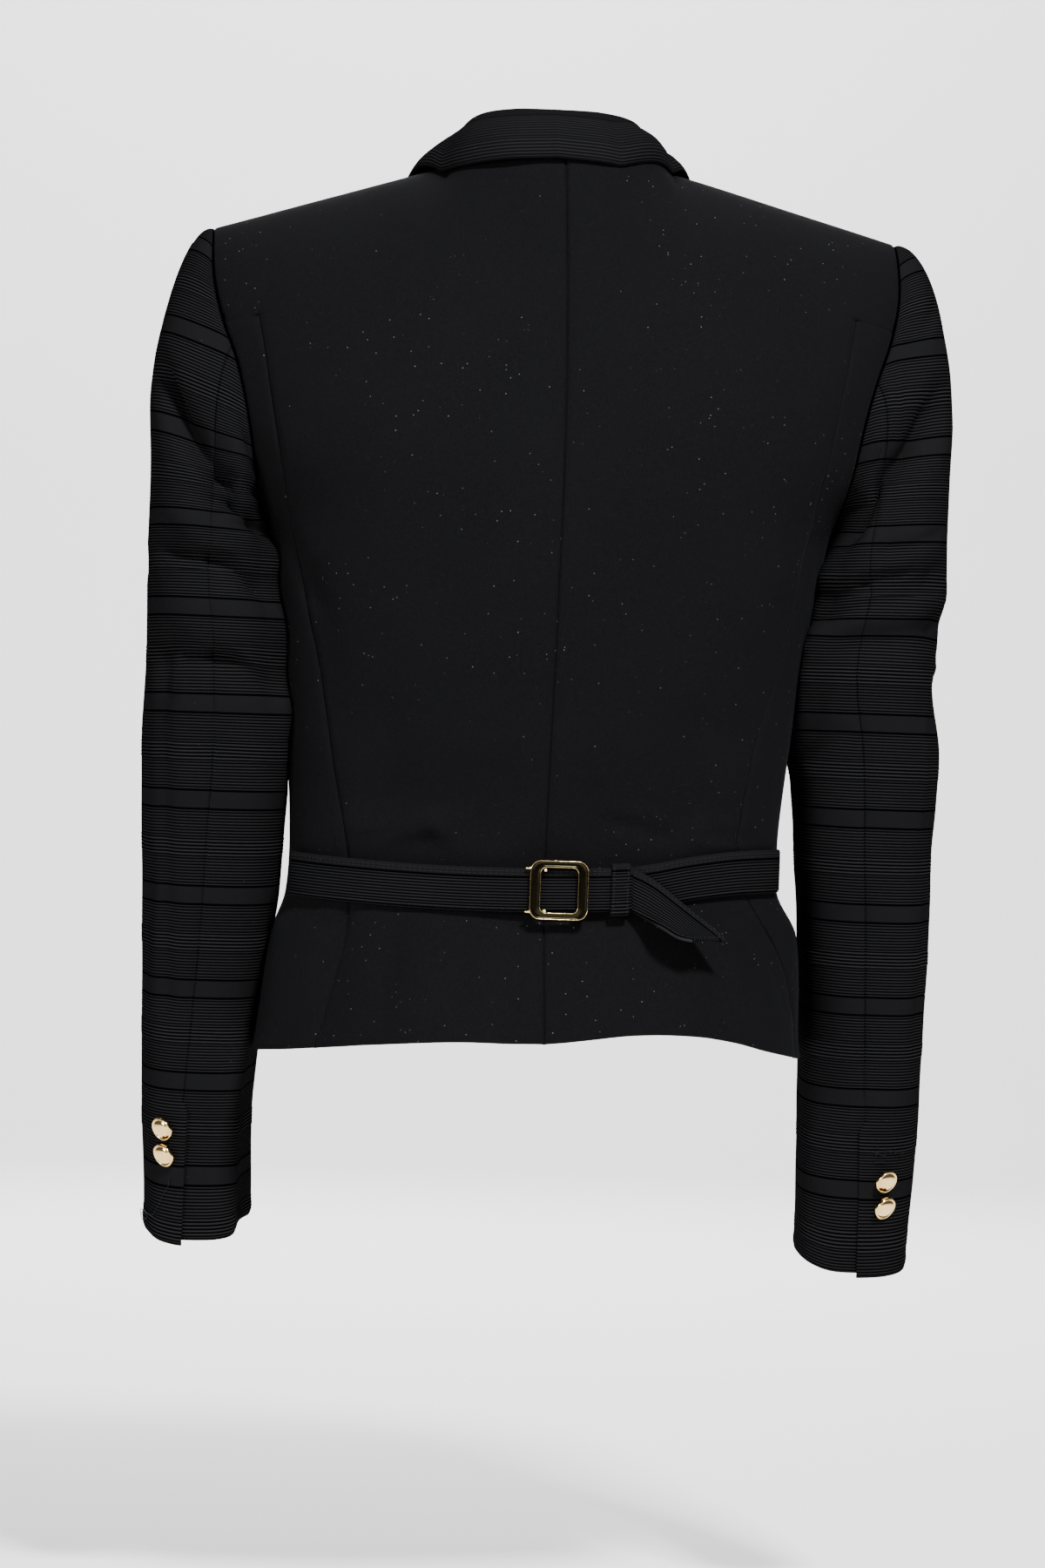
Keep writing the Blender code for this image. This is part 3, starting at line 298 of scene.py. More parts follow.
def neck_depth(x, climb):
    """Depth of the neckline, spread wider and softer in the level sections below it."""
    below = 1 - np.clip(climb, 0, 1)
    share = np.clip(x / (NECK_HALF * (1 + 0.9 * below)), 0, 1)
    return NECK_BACK_DEPTH * (1 - share ** 2) ** (0.5 + 1.5 * below)


def smooth_step(x, low, high):
    """0 below low and 1 above high, with a smooth rise between them."""
    t = np.clip((x - low) / (high - low), 0, 1)
    return t * t * (3 - 2 * t)


def turned_in(climb, x):
    """How much of the chest's depth is left where the cloth turns over the shoulder."""
    shoulder = np.sqrt(np.maximum(1 - climb ** SHOULDER_ROUND, 0))
    neck = 1 - climb ** 3
    over = smooth_step(x, 0.030, 0.095)
    return neck + (shoulder - neck) * over


def angle_at(x, height):
    """Angle from the centre line at which the level section is x wide."""
    ratio = np.clip(np.abs(x) / BODY("half_width", height), 0, 1)
    return np.sign(x) * np.arcsin(ratio ** (BODY("square", height) / 2))


def section(column, share, height):
    """Reach of the level section where its other half axis is at this share."""
    power = BODY("square", height)
    return BODY(column, height) * (1 - np.clip(share, 0, 1) ** power) ** (1 / power)


def skirt(side, x, z):
    """Distance from the centre with the skirt's spring below the belt added."""
    start, full, reach = SKIRT[side]
    share = smooth_step(start - z, 0, start - full)
    share = share * (1 - smooth_step(full - z, 0, full - SKIRT_END))
    return x + reach * share * smooth_step(x / BODY("half_width", z), 0.75, 1.0)


def fold_depth(folds, across, height, scale=1.0):
    """Soft troughs (or ridges, where negative) along straight lines on the cloth."""
    total = np.zeros(np.broadcast(across, height).shape)
    for row in folds:
        fold = dict(zip(FOLD_COLUMNS, row))
        run = np.array([(fold["across_b"] - fold["across_a"]) * scale,
                        fold["height_b"] - fold["height_a"]])
        length = np.hypot(*run)
        du, dz = (across - fold["across_a"]) * scale, height - fold["height_a"]
        along = (du * run[0] + dz * run[1]) / length
        aside = (du * run[1] - dz * run[0]) / length
        past = np.maximum(np.maximum(-along, along - length), 0)
        half_width = fold["half_width"]
        reach = (aside / half_width) ** 2 + (past / (FOLD_ENDS * half_width)) ** 2
        total += fold["depth"] * (np.exp(-reach) - FOLD_BESIDE * np.exp(-reach / 4))
    return total


def back_point(side, u, v):
    """Back half: u runs 0 centre, 1 neck, 2 side-back seam, 3 side; v -1 hem to 1 ridge."""
    u, v = np.broadcast_arrays(np.asarray(u, float), np.asarray(v, float))
    climb = np.sin(np.clip(v, 0, 1) * math.pi / 2)
    z = np.where(v < 0, ARMPIT + (ARMPIT + 0.51) * v, ARMPIT + 0.19 * climb)
    for _ in range(10):
        edge = np.where(v < 0, BODY("half_width", z), ARMHOLE("back", z))
        guides = [0 * z, angle_at(NECK_HALF + 0 * z, z), angle_at(SIDE_SEAM(side, z), z),
                  angle_at(edge, z)]
        step = np.clip(np.floor(u), 0, 2)
        angle = sum(np.where(step == k, guides[k] + (guides[k + 1] - guides[k]) * (u - k), 0)
                    for k in range(3))
        power = 2 / BODY("square", z)
        x = BODY("half_width", z) * np.abs(np.sin(angle)) ** power
        hem = HEM(side, angle / math.pi)
        z_top = ridge(side, x)[1]
        z = np.where(v < 0, ARMPIT + (ARMPIT - hem) * v, ARMPIT + (z_top - ARMPIT) * climb)
    y = BODY("back", z) * np.abs(np.cos(angle)) ** power
    depth_top = neck_depth(x, climb)
    y = np.where(v < 0, y, depth_top + (y - depth_top) * turned_in(climb, x))
    loose = smooth_step(np.abs(z - BELT_HEIGHT), 0.015, 0.032) * smooth_step(y, 0.0, 0.03)
    y = y - fold_depth(BODY_FOLDS[side], x, z) * loose
    return np.stack([skirt(side, x, z), y, z], -1)


def front_edge(side, height):
    """Distance from the centre to the front edge and, above the break, the V."""
    rise = np.clip((height - BREAK_HEIGHT) / (SHOULDER_HEIGHT[side] - BREAK_HEIGHT), 0, 1)
    return -LAP + (NECK_HALF + LAP) * rise ** 0.95


def front_depth(side, x, z):
    """Depth of the front at a distance x from the centre and a height z."""
    level = section("front", np.abs(x) / BODY("half_width", z), z)
    climb = np.clip((z - ARMPIT) / (seam_height(side, x) - ARMPIT), 0, 1)
    level = level * np.sqrt(1 - climb ** SHOULDER_ROUND)
    lift = LAP_LIFT * (1 - smooth_step(x, 0.024, 0.050)) if side == "right" else 0
    return level + lift


def front_point(side, u, v):
    """Front half: u runs 0 side to 1 front edge; v -1 hem, 0 armpit, 1 shoulder seam."""
    u, v = np.broadcast_arrays(np.asarray(u, float), np.asarray(v, float))
    climb = np.sin(np.clip(v, 0, 1) * math.pi / 2)
    z = np.where(v < 0, ARMPIT + (ARMPIT + 0.51) * v, ARMPIT + 0.19 * climb)
    for _ in range(10):
        edge = np.where(v < 0, BODY("half_width", z), ARMHOLE("front", z))
        start, stop = angle_at(edge, z), angle_at(front_edge(side, z), z)
        angle = start + (stop - start) * u
        power = 2 / BODY("square", z)
        x = BODY("half_width", z) * np.sign(angle) * np.abs(np.sin(angle)) ** power
        hem = HEM(side, 1 - angle / math.pi)
        z = np.where(v < 0, ARMPIT + (ARMPIT - hem) * v,
                     ARMPIT + (seam_height(side, x) - ARMPIT) * climb)
    return np.stack([skirt(side, x, z), -front_depth(side, x, z), z], -1)


def top_height(side, x, y):
    """Height of the shoulder or neck slope above a point of the plan."""
    z = np.zeros(np.broadcast(x, y).shape)
    for _ in range(12):
        share = np.abs(x) / BODY("half_width", z)
        reach = np.where(y > 0, section("back", share, z), section("front", share, z))
        z_top = ridge(side, x)[1]
        depth_top = np.where(y > 0, neck_depth(x, (z - ARMPIT) / (z_top - ARMPIT)), 0)
        z_top = np.where(y > 0, z_top, np.minimum(z_top, SHOULDER_HEIGHT[side]))
        left = np.clip((np.abs(y) - depth_top) / (reach - depth_top), 0, 1)
        shoulder = (1 - left ** 2) ** (1 / SHOULDER_ROUND)
        neck = (1 - left) ** (1 / 3)
        over = np.where(y > 0, smooth_step(x, 0.030, 0.095), 1)
        z = ARMPIT + (z_top - ARMPIT) * (neck + (shoulder - neck) * over)
    return z


def armhole_loop(side, turn):
    """The armhole's edge: turn 0 at the shoulder seam, 0.25 back, 0.5 armpit, 0.75 front."""
    v = np.linspace(1, 0, 160) ** 1.5
    halves = (back_point(side, 3, v), front_point(side, 0, v))
    turn = np.mod(turn, 1)
    shares = (np.clip(2 * turn, 0, 1), np.clip(2 - 2 * turn, 0, 1))
    picked = []
    for half, share in zip(halves, shares):
        steps = np.linalg.norm(np.diff(half, axis=0), axis=1)
        length = np.concatenate([[0], np.cumsum(steps)])
        place = share * length[-1]
        picked.append(np.stack([np.interp(place, length, half[:, i]) for i in range(3)], -1))
    return np.where((turn <= 0.5)[..., None], picked[0], picked[1])


FLANK_GAP = 0.0014        # the sleeve rests against the body's flank,
FLANK_SOFT = 0.0020       # leaves it in a curve of about this size,
FLANK_START = 0.010       # and is clear of it this far below the armpit


def flank(side, y, z):
    """Distance from the centre to the body's outer face at a depth y and a height z."""
    reach = np.where(y > 0, BODY("back", z), BODY("front", z))
    return skirt(side, section("half_width", np.abs(y) / reach, z), z)


def off_flank(side, point):
    """A sleeve point's distance from the centre, kept outside the flank."""
    x, y, z = np.moveaxis(point, -1, 0)
    beside = flank(side, y, z) + FLANK_GAP
    outside = (x + beside + np.sqrt((x - beside) ** 2 + FLANK_SOFT ** 2)) / 2
    return x + (outside - x) * smooth_step(ARMPIT - z, 0, FLANK_START)


def arm_point(side, turn, height):
    """Sleeve section at a height of the hanging arm."""
    angle = 2 * math.pi * turn
    inner, outer = ARM(side + "_in", height), ARM(side + "_out", height)
    round_x = np.sign(np.cos(angle)) * np.abs(np.cos(angle)) ** (2 / ARM_SQUARE)
    round_y = np.sign(np.sin(angle)) * np.abs(np.sin(angle)) ** (2 / ARM_SQUARE)
    x = (inner + outer) / 2 + (outer - inner) / 2 * round_x
    y = ARM("half_depth", height) * round_y
    z = height - ARM("tilt", height) * y
    return np.stack([x, y + ARM("centre_y", height), z], -1)


def sleeve_point(side, turn, along):
    """Sleeve: along 0 armhole to 1 below the armpit, on to 2 at the cuff."""
    turn, along = np.broadcast_arrays(np.asarray(turn, float), np.asarray(along, float))
    start = armhole_loop(side, turn) + np.array([ARMHOLE_GAP, 0, 0])
    start[..., 2] -= ARMHOLE_GAP * np.sin(np.pi * np.mod(turn, 1)) ** 2
    leave = CAP.xyz(np.mod(turn, 1))
    leave[..., 0] *= CAP_PULL[side]
    stop = arm_point(side, turn, ARM_TOP + 0 * turn)
    drop = np.linalg.norm(stop - start, axis=-1, keepdims=True)
    t = np.clip(along, 0, 1)[..., None]
    cap = blend(t, start, stop, leave, drop * np.array([0.0, 0.0, -0.95]))
    outside = np.maximum(np.cos(2 * math.pi * turn), 0)[..., None]
    cap = cap + CAP_BULGE[side] * outside * np.sin(math.pi * t) ** 2 * np.array([1.0, 0.0, 0.0])
    height = ARM_TOP + (CUFF[side] - ARM_TOP) * np.clip(along - 1, 0, 1)
    points = np.where((along > 1)[..., None], arm_point(side, turn, height), cap)
    points[..., 0] = off_flank(side, points)
    return points


def normals(grid, outward):
    """Unit normals of a grid of points, on the side that faces away from a point."""
    rows = np.gradient(grid, axis=0)
    columns = np.gradient(grid, axis=1)
    cross = np.cross(rows, columns)
    cross /= np.maximum(np.linalg.norm(cross, axis=-1, keepdims=True), 1e-12)
    middle = tuple(n // 2 for n in grid.shape[:2])
    facing = np.dot(cross[middle], grid[middle] - np.asarray(outward))
    return cross if facing > 0 else -cross


def handed(side, points):
    """Points of the half at +X, mirrored for the wearer's right."""
    return points if side == "left" else points * np.array([-1.0, 1.0, 1.0])


AXIS = (0.0, 0.0, -0.3)   # a point inside the body, which its cloth faces away from


def step_share(side):
    """Share of the climb from armpit to shoulder at the side-back panel's top corner."""
    x = SIDE_SEAM(side, STEP_HEIGHT[side])
    top = float(ridge(side, x)[1])
    return math.asin((STEP_HEIGHT[side] - ARMPIT) / (top - ARMPIT)) * 2 / math.pi


def seam_turn(name, along):
    """Turn of a sleeve seam at a place along the sleeve."""
    height = np.where(along > 1, ARM_TOP + (CUFF["left"] - ARM_TOP) * (along - 1),
                      -0.11 + (ARM_TOP + 0.11) * along)
    return SLEEVE_SEAM(name, height)


COLLAR_LIFT = 0.0052
COLLAR_SHIFT = 0.0050     # the collar sits towards the wearer's left
ROLL_HALF = 0.0026        # half the width of the collar's fold


def height_on_v(side, x):
    """Height at which the V edge lies x from the centre."""
    rise = ((x + LAP) / (NECK_HALF + LAP)) ** (1 / 0.95)
    return BREAK_HEIGHT + rise * (SHOULDER_HEIGHT[side] - BREAK_HEIGHT)


def collar_half(side, along):
    """Rows along half the collar; columns from the sewn edge over the roll to the edge."""
    sewn = np.stack([COLLAR("sewn_x", along), COLLAR("sewn_y", along), 0 * along], -1)
    roll, edge = COLLAR.xyz(along, "roll_"), COLLAR.xyz(along, "edge_")
    shift = COLLAR_SHIFT * (1 if side == "left" else -1) * (1 - along ** 2)
    roll[:, 0] += shift
    edge[:, 0] += shift
    behind = sewn[:, 1] >= -1e-6
    on_v = height_on_v(side, np.clip(sewn[:, 0], 0, NECK_HALF))
    sewn[:, 2] = np.where(behind, ridge(side, sewn[:, 0])[1], on_v) + 0.0006
    sewn[:, 0] -= np.where(behind, 0, 0.0022)
    chest = -front_depth(side, sewn[:, 0], sewn[:, 2]) - 0.0006
    sewn[:, 1] = np.where(behind, ridge(side, sewn[:, 0])[0] - 0.0004, chest)
    for line, lift in ((roll, 0.0050), (edge, COLLAR_LIFT)):
        ahead = line[:, 1] < -0.02
        line[:, 2] = np.maximum(line[:, 2], top_height(side, line[:, 0], line[:, 1]) + COLLAR_LIFT)
        chest = -front_depth(side, line[:, 0], line[:, 2]) - lift
        line[:, 1] = np.where(ahead, np.minimum(line[:, 1], chest), line[:, 1])
    away = unit((edge - sewn) * np.array([1.0, 1.0, 0.0]))
    up = np.array([0.0, 0.0, 1.0])
    inside, outside = roll - ROLL_HALF * away, roll + ROLL_HALF * away
    bulge = 0.0030 * away + 0.0030 * up
    rows = [sewn, (sewn + inside) / 2, inside, roll + 0.0022 * up, outside,
            (2 * outside + edge) / 3 + bulge, (outside + 2 * edge) / 3 + bulge, edge]
    return np.stack(rows, 1)


LAPEL_CLOTH = 0.0016
GORGE_DROP = 0.030        # how far the gorge falls on its way out
LAPEL_START = {"left": -0.290, "right": -0.330}


def lapel_grid(side, r, c):
    """Lapel turned back on the front: r from the break to the gorge, c roll to edge."""
    start = LAPEL_START[side]
    row = start + (GORGE_HEIGHT - 0.0012 - start) * r
    roll = front_edge(side, row)
    if side == "left":
        roll = np.maximum(roll, 0.0022 - front_edge("right", row - 0.004))
    outer = LAPEL("outer", row)
    x = roll + (outer - roll) * c
    z = row - GORGE_DROP * c * r ** 2
    lift = 0.0025 + 0.0018 * (1 - c) ** 2 + 0.0010 * c * (1 - c)
    return np.stack([x, -front_depth(side, x, z) - lift, z], -1)


# Half belt: height of its middle against distance across, wearer's left positive
BELT = Curve(
    ("across", "height"), (
        (-0.150, -0.4095),
        (-0.108, -0.4118),
        (-0.081, -0.4155),
        (-0.050, -0.4215),
        (-0.008, -0.4243),
        (0.040, -0.4252),
        (0.082, -0.4242),
        (0.120, -0.4222),
        (0.150, -0.4200),
    ))
BELT_WIDTH = 0.0255
WAIST = -0.42             # level section that angles along the belt are read from
BUCKLE_AT = -0.0070       # across, near the centre back
BUCKLE_SIZE = 0.0340
KEEPER_AT = -0.0420
KEEPER_WIDTH = 0.0105
# Loose tip past the keeper: middle line and the direction across, pointing to its upper edge
TIP = Curve(
    ("along", "x", "out", "z", "cross_x", "cross_y", "cross_z"), (
        (0.00, -0.0500, 0.0000, -0.4225, 0.00, 0.00, 1.00),
        (0.22, -0.0600, 0.0015, -0.4270, -0.18, -0.30, 0.93),
        (0.50, -0.0728, 0.0070, -0.4350, -0.50, -0.62, 0.60),
        (0.78, -0.0862, 0.0115, -0.4440, -0.76, -0.56, 0.32),
        (1.00, -0.0964, 0.0130, -0.4498, -0.88, -0.46, -0.04),
    ))


def waist_point(angle, height):
    """Point of the back at an angle from the centre line, either side, and a height."""
    power = 2 / BODY("square", height)
    x = BODY("half_width", height) * np.sign(angle) * np.abs(np.sin(angle)) ** power
    y = BODY("back", height) * np.abs(np.cos(angle)) ** power
    return np.stack([x, y, height + 0 * x], -1)


def belt_grid(angles, lift, steps=4):
    """Band round the waist, its outer face lifted off the back; rows run across it."""
    level = BELT("height", BODY("half_width", WAIST) * np.sin(angles))
    share = np.linspace(-0.5, 0.5, steps + 1)
    heights = level[None, :] + share[:, None] * BELT_WIDTH
    grid = waist_point(angles[None, :] + 0 * heights, heights)
    plan = grid[steps // 2]
    along = np.gradient(plan[:, :2], axis=0)
    out = unit(np.stack([-along[:, 1], along[:, 0], 0 * along[:, 0]], -1))
    out *= np.sign(np.sum(out * (plan - np.array(AXIS)), -1))[:, None]
    reach = np.max(np.sum(grid * out[None], -1), 0) - np.sum(plan * out, -1)
    face = plan + out * (reach + lift)[:, None]
    return face[None] * np.array([1, 1, 0]) + grid * np.array([0, 0, 1]), out


def belt_angle(x):
    """Angle round the waist of a distance across."""
    return float(angle_at(np.array(float(x)), np.array(WAIST)))


UNDER_LIFT = BELT_CLOTH + 0.0019
OVER_LIFT = 2 * BELT_CLOTH + 0.0025
BELT_END = 1.31           # angle from the centre back where the straps are sewn down


def sewn_down(angles):
    """The straps close in on the cloth where they are sewn down at the sides."""
    return -0.0006 * smooth_step(np.abs(angles), BELT_END - 0.25, BELT_END)


def rounded_square(width, height, corner, steps=4):
    """Outline of a rounded rectangle, as points (across, up)."""
    points = []
    for turn, (sx, sy) in enumerate(((1, 1), (-1, 1), (-1, -1), (1, -1))):
        for k in range(steps + 1):
            angle = math.pi / 2 * (turn + k / steps)
            points.append((sx * (width / 2 - corner) + corner * math.cos(angle),
                           sy * (height / 2 - corner) + corner * math.sin(angle)))
    return np.array(points)


# Cuff buttons: height of each, and the turn round the sleeve, just outside the vent
CUFF_BUTTONS = {
    "left": ((0.174, -0.5715), (0.177, -0.5872)),
    "right": ((0.214, -0.5905), (0.212, -0.6066)),
}
CUFF_BUTTON_RADIUS = 0.0074
CUFF_BUTTON_LIFT = 0.0014
FRONT_BUTTONS = (-0.352, -0.430)
FRONT_BUTTON_RADIUS = 0.0100
FRONT_BUTTON_LIFT = 0.0004

# ---------------------------------------------------------------- cloth shells

SEAM_DEPTH, SLEEVE_SEAM_DEPTH, SEAM_WIDTH = 0.0009, 0.0005, 0.0010
EDGE_ROUND = 0.22         # share of the thickness that a shell's rims close in by
SHARP_ANGLE = 62          # degrees
WAVES = 7                 # crossing waves of the cloth's unevenness


def spaced(stops, step, tight=0.0009):
    """Positions from 0 through all stops' lengths, about step apart, closer at both ends."""
    parts = [np.array([0.0, tight])]
    total = stops[-1]
    for low, high in zip(stops, stops[1:]):
        low, high = max(low, tight), min(high, total - tight)
        parts.append(np.linspace(low, high, max(2, round((high - low) / step)) + 1))
    parts.append(np.array([total]))
    return np.unique(np.round(np.concatenate(parts), 7)) / total


def wander(across, height, scale, seed):
    """Slow unevenness of worn cloth, from -1 to 1, by a few crossing waves."""
    rng = np.random.default_rng(seed)
    total = 0 * across
    for _ in range(WAVES):
        angle, phase = rng.uniform(0, math.pi), rng.uniform(0, 2 * math.pi)
        length = scale * rng.uniform(0.6, 1.8)
        wave = (across * math.cos(angle) + height * math.sin(angle)) * 2 * math.pi / length
        total = total + np.sin(wave + phase)
    return total / WAVES


def seam_dip(seams, depth=SEAM_DEPTH):
    """The cloth sinks a little into each seam; seams are distances to them."""
    return sum(depth * bell(distance, SEAM_WIDTH) for distance in seams)


def shell(name, grid, facing, thick, uv, looks, keep=None):
    """Thin cloth from a grid of points, its outer face, with rounded edges."""
    rows, columns = grid.shape[:2]
    keep = np.ones((rows - 1, columns - 1), bool) if keep is None else keep
    index = np.arange(rows * columns).reshape(rows, columns)
    corners = np.stack([index[:-1, :-1], index[:-1, 1:], index[1:, 1:], index[1:, :-1]], -1)
    quads = corners[keep]
    edges = np.concatenate([quads[:, [k, (k + 1) % 4]] for k in range(4)])
    keys = np.sort(edges, 1) @ np.array([rows * columns, 1])
    _, first, counts = np.unique(keys, return_index=True, return_counts=True)
    rim = edges[first[counts == 1]]
    outer, normal = grid.reshape(-1, 3).copy(), facing.reshape(-1, 3)
    inner = outer - normal * thick
    edge = np.unique(rim)
    outer[edge] -= normal[edge] * thick * EDGE_ROUND
    inner[edge] += normal[edge] * thick * EDGE_ROUND
    used = np.unique(quads)
    count = len(used)
    place = np.full(rows * columns, -1)
    place[used] = np.arange(count)
    points = np.concatenate([outer[used], inner[used]])
    quads, rim = place[quads], place[rim]
    wall = np.stack([rim[:, 1], rim[:, 0], rim[:, 0] + count, rim[:, 1] + count], -1)
    faces = np.concatenate([quads, quads[:, ::-1] + count, wall])
    first_face = points[quads[0]]
    turned = np.cross(first_face[1] - first_face[0], first_face[2] - first_face[0])
    if np.dot(turned, normal[used][quads[0, 0]]) < 0:
        faces = faces[:, ::-1]
    flat = uv.reshape(-1, 2)[used]
    return mesh_object(name, points, faces, looks, np.concatenate([flat, flat]))


def mesh_object(name, points, faces, looks, uv=None):
    """Mesh of quads with one UV for each point, in metres."""
    uv = points[:, [0, 2]] if uv is None else uv
    mesh = bpy.data.meshes.new(name)
    mesh.vertices.add(len(points))
    mesh.vertices.foreach_set("co", points.astype(np.float32).ravel())
    mesh.loops.add(faces.size)
    mesh.loops.foreach_set("vertex_index", faces.astype(np.int32).ravel())
    mesh.polygons.add(len(faces))
    mesh.polygons.foreach_set("loop_start", np.arange(len(faces), dtype=np.int32) * 4)
    layer = mesh.uv_layers.new(name="cloth")
    layer.data.foreach_set("uv", uv[faces.ravel()].astype(np.float32).ravel())
    mesh.update(calc_edges=True)
    mesh.validate()
    mesh.shade_smooth()
    mesh.set_sharp_from_angle(angle=math.radians(SHARP_ANGLE))
    mesh.materials.append(looks)
    obj = bpy.data.objects.new(name, mesh)
    bpy.context.scene.collection.objects.link(obj)
    return obj


def ring_faces(rings, sides, closed=False):
    """Quads between rings of points, the last ring joined to the first if closed."""
    ring, k = np.divmod(np.arange((rings if closed else rings - 1) * sides), sides)
    here, after = ring * sides, (ring + 1) % rings * sides
    beside = (k + 1) % sides
    return np.stack([here + k, here + beside, after + beside, after + k], -1)


def dressed(obj, node=None):
    """The piece rides with the garment and may stand for its CAD node."""
    if node:
        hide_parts(node)
    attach(obj, "root")
    return obj


def cloth_piece(node, grid, facing, thick, uv, looks, side="left", keep=None):
    """Shell that stands for a CAD node, mirrored for the wearer's right."""
    obj = shell(node + "_cloth", handed(side, grid), handed(side, facing), thick, uv, looks,
                keep)
    return dressed(obj, node)


def arc(points, axis, from_end=False):
    """Length along a grid's rows or columns, from its first point or its last."""
    if from_end:
        return np.flip(arc(np.flip(points, axis), axis), axis)
    steps = np.linalg.norm(np.diff(points, axis=axis), axis=-1)
    first = np.zeros_like(np.take(steps, [0], axis))
    return np.cumsum(np.concatenate([first, steps], axis), axis)


# ---------------------------------------------------------------- body panels

# Finer creases of the body, in the columns of FOLD_COLUMNS
BODY_CREASES = {
    "left": (
        (0.097, -0.328, 0.094, -0.384, 0.016, 0.0036),
        (0.102, -0.4050, 0.070, -0.3890, 0.0050, -0.0027),
        (0.066, -0.3890, 0.047, -0.4060, 0.0050, -0.0027),
        (0.138, -0.4355, 0.129, -0.4480, 0.0050, 0.0036),
        (0.114, -0.4380, 0.127, -0.5050, 0.0060, 0.0027),
        (0.088, -0.4440, 0.092, -0.5000, 0.0090, 0.0022),
        (0.052, -0.4440, 0.050, -0.4850, 0.0110, 0.0020),
        (0.016, -0.4500, 0.022, -0.5000, 0.0140, 0.0018),
        (0.140, -0.2500, 0.120, -0.3300, 0.0120, 0.0020),
        (0.160, -0.2150, 0.138, -0.2600, 0.0060, 0.0025),
        (0.060, -0.0600, 0.110, -0.0900, 0.0160, 0.0018),
        (0.030, -0.3600, 0.034, -0.4000, 0.0100, 0.0015),
    ),
    "right": (
        (0.040, -0.3842, 0.068, -0.3904, 0.0050, 0.0027),
        (0.123, -0.3910, 0.100, -0.3895, 0.0045, 0.0027),
        (0.127, -0.4300, 0.150, -0.4860, 0.0060, 0.0031),
        (0.100, -0.4440, 0.108, -0.5000, 0.0090, 0.0022),
        (0.064, -0.4420, 0.060, -0.4900, 0.0110, 0.0020),
        (0.090, -0.3300, 0.086, -0.3800, 0.0150, 0.0027),
        (0.136, -0.2600, 0.118, -0.3300, 0.0120, 0.0020),
        (0.156, -0.2150, 0.136, -0.2550, 0.0060, 0.0022),
        (0.050, -0.0600, 0.100, -0.0900, 0.0160, 0.0018),
        (0.026, -0.3700, 0.030, -0.4000, 0.0090, 0.0015),
    ),
}
# Creases of the hidden fronts, in the same columns
FRONT_CREASES = {
    "left": (
        (0.020, -0.352, 0.095, -0.330, 0.0070, 0.0021),
        (0.024, -0.362, 0.090, -0.385, 0.0080, 0.0018),
        (0.020, -0.430, 0.080, -0.424, 0.0070, 0.0018),
        (0.118, -0.405, 0.100, -0.445, 0.0090, 0.0021),
        (0.132, -0.440, 0.128, -0.510, 0.0100, 0.0021),
        (0.150, -0.225, 0.112, -0.262, 0.0070, 0.0019),
        (0.060, -0.446, 0.066, -0.520, 0.0150, 0.0015),
    ),
    "right": (
        (0.014, -0.352, 0.088, -0.326, 0.0070, 0.0023),
        (0.016, -0.358, 0.096, -0.378, 0.0080, 0.0018),
        (0.014, -0.430, 0.074, -0.420, 0.0070, 0.0018),
        (0.112, -0.400, 0.096, -0.440, 0.0090, 0.0021),
        (0.128, -0.436, 0.134, -0.510, 0.0100, 0.0019),
        (0.154, -0.225, 0.116, -0.258, 0.0070, 0.0018),
        (0.050, -0.450, 0.056, -0.520, 0.0150, 0.0015),
    ),
}
WANDER = 0.00060          # the body's slow unevenness
WANDER_BACK, WANDER_FRONT = 0.07, 0.08    # and the length of its waves
WANDER_SEED = {"left": 3, "right": 8}
BODY_STEP = 0.0032        # spacing of the body's grid
SHOULDER_DIP, SHOULDER_DIP_SHARE = 0.0006, 0.012    # the cloth sinks into this seam,
SHOULDER_CALM = 0.12                                # and has no creases just below it
BELT_CALM = (0.013, 0.030)     # nor as near as this to the belt's middle
FRONT_CALM = (-0.012, 0.004)   # nor, on the fronts, across the centre
# Rough lengths of the stretches between guides, from which steps are counted
BACK_STRETCH, SIDE_STRETCH, FRONT_STRETCH = 0.130, 0.045, 0.185
LOW_STRETCH, HIGH_STRETCH = 0.310, 0.215


def body_v(side):
    """Rows of the body's grids, and the row of the side-back panel's top."""
    low = spaced([0, LOW_STRETCH], BODY_STEP) - 1
    corner = step_share(side)
    below = spaced([0, HIGH_STRETCH * corner], BODY_STEP) * corner
    above = corner + spaced([0, HIGH_STRETCH * (1 - corner)], BODY_STEP) * (1 - corner)
    v = np.unique(np.round(np.concatenate([low, below, above]), 6))
    return v, int(np.argmin(np.abs(v - corner)))


def body_uv(grid):
    """Metres of cloth: across from the first column, up from the armpit."""
    return np.stack([arc(grid, 1), grid[..., 2]], -1)


def shoulder_level(level, grid, side):
    """Fields of normals agree along the shoulder seam."""
    slope = unit(np.array([SHOULDER_SLOPE[side], 0.0, 1.0]))
    share = smooth_step(np.arange(len(grid)) / (len(grid) - 1), 0.975, 1.0)[:, None, None]
    out = np.where(grid[..., :1] >= NECK_HALF - 1e-4, 1.0, 0.0) * share
    return unit(level * (1 - out) + slope * out)


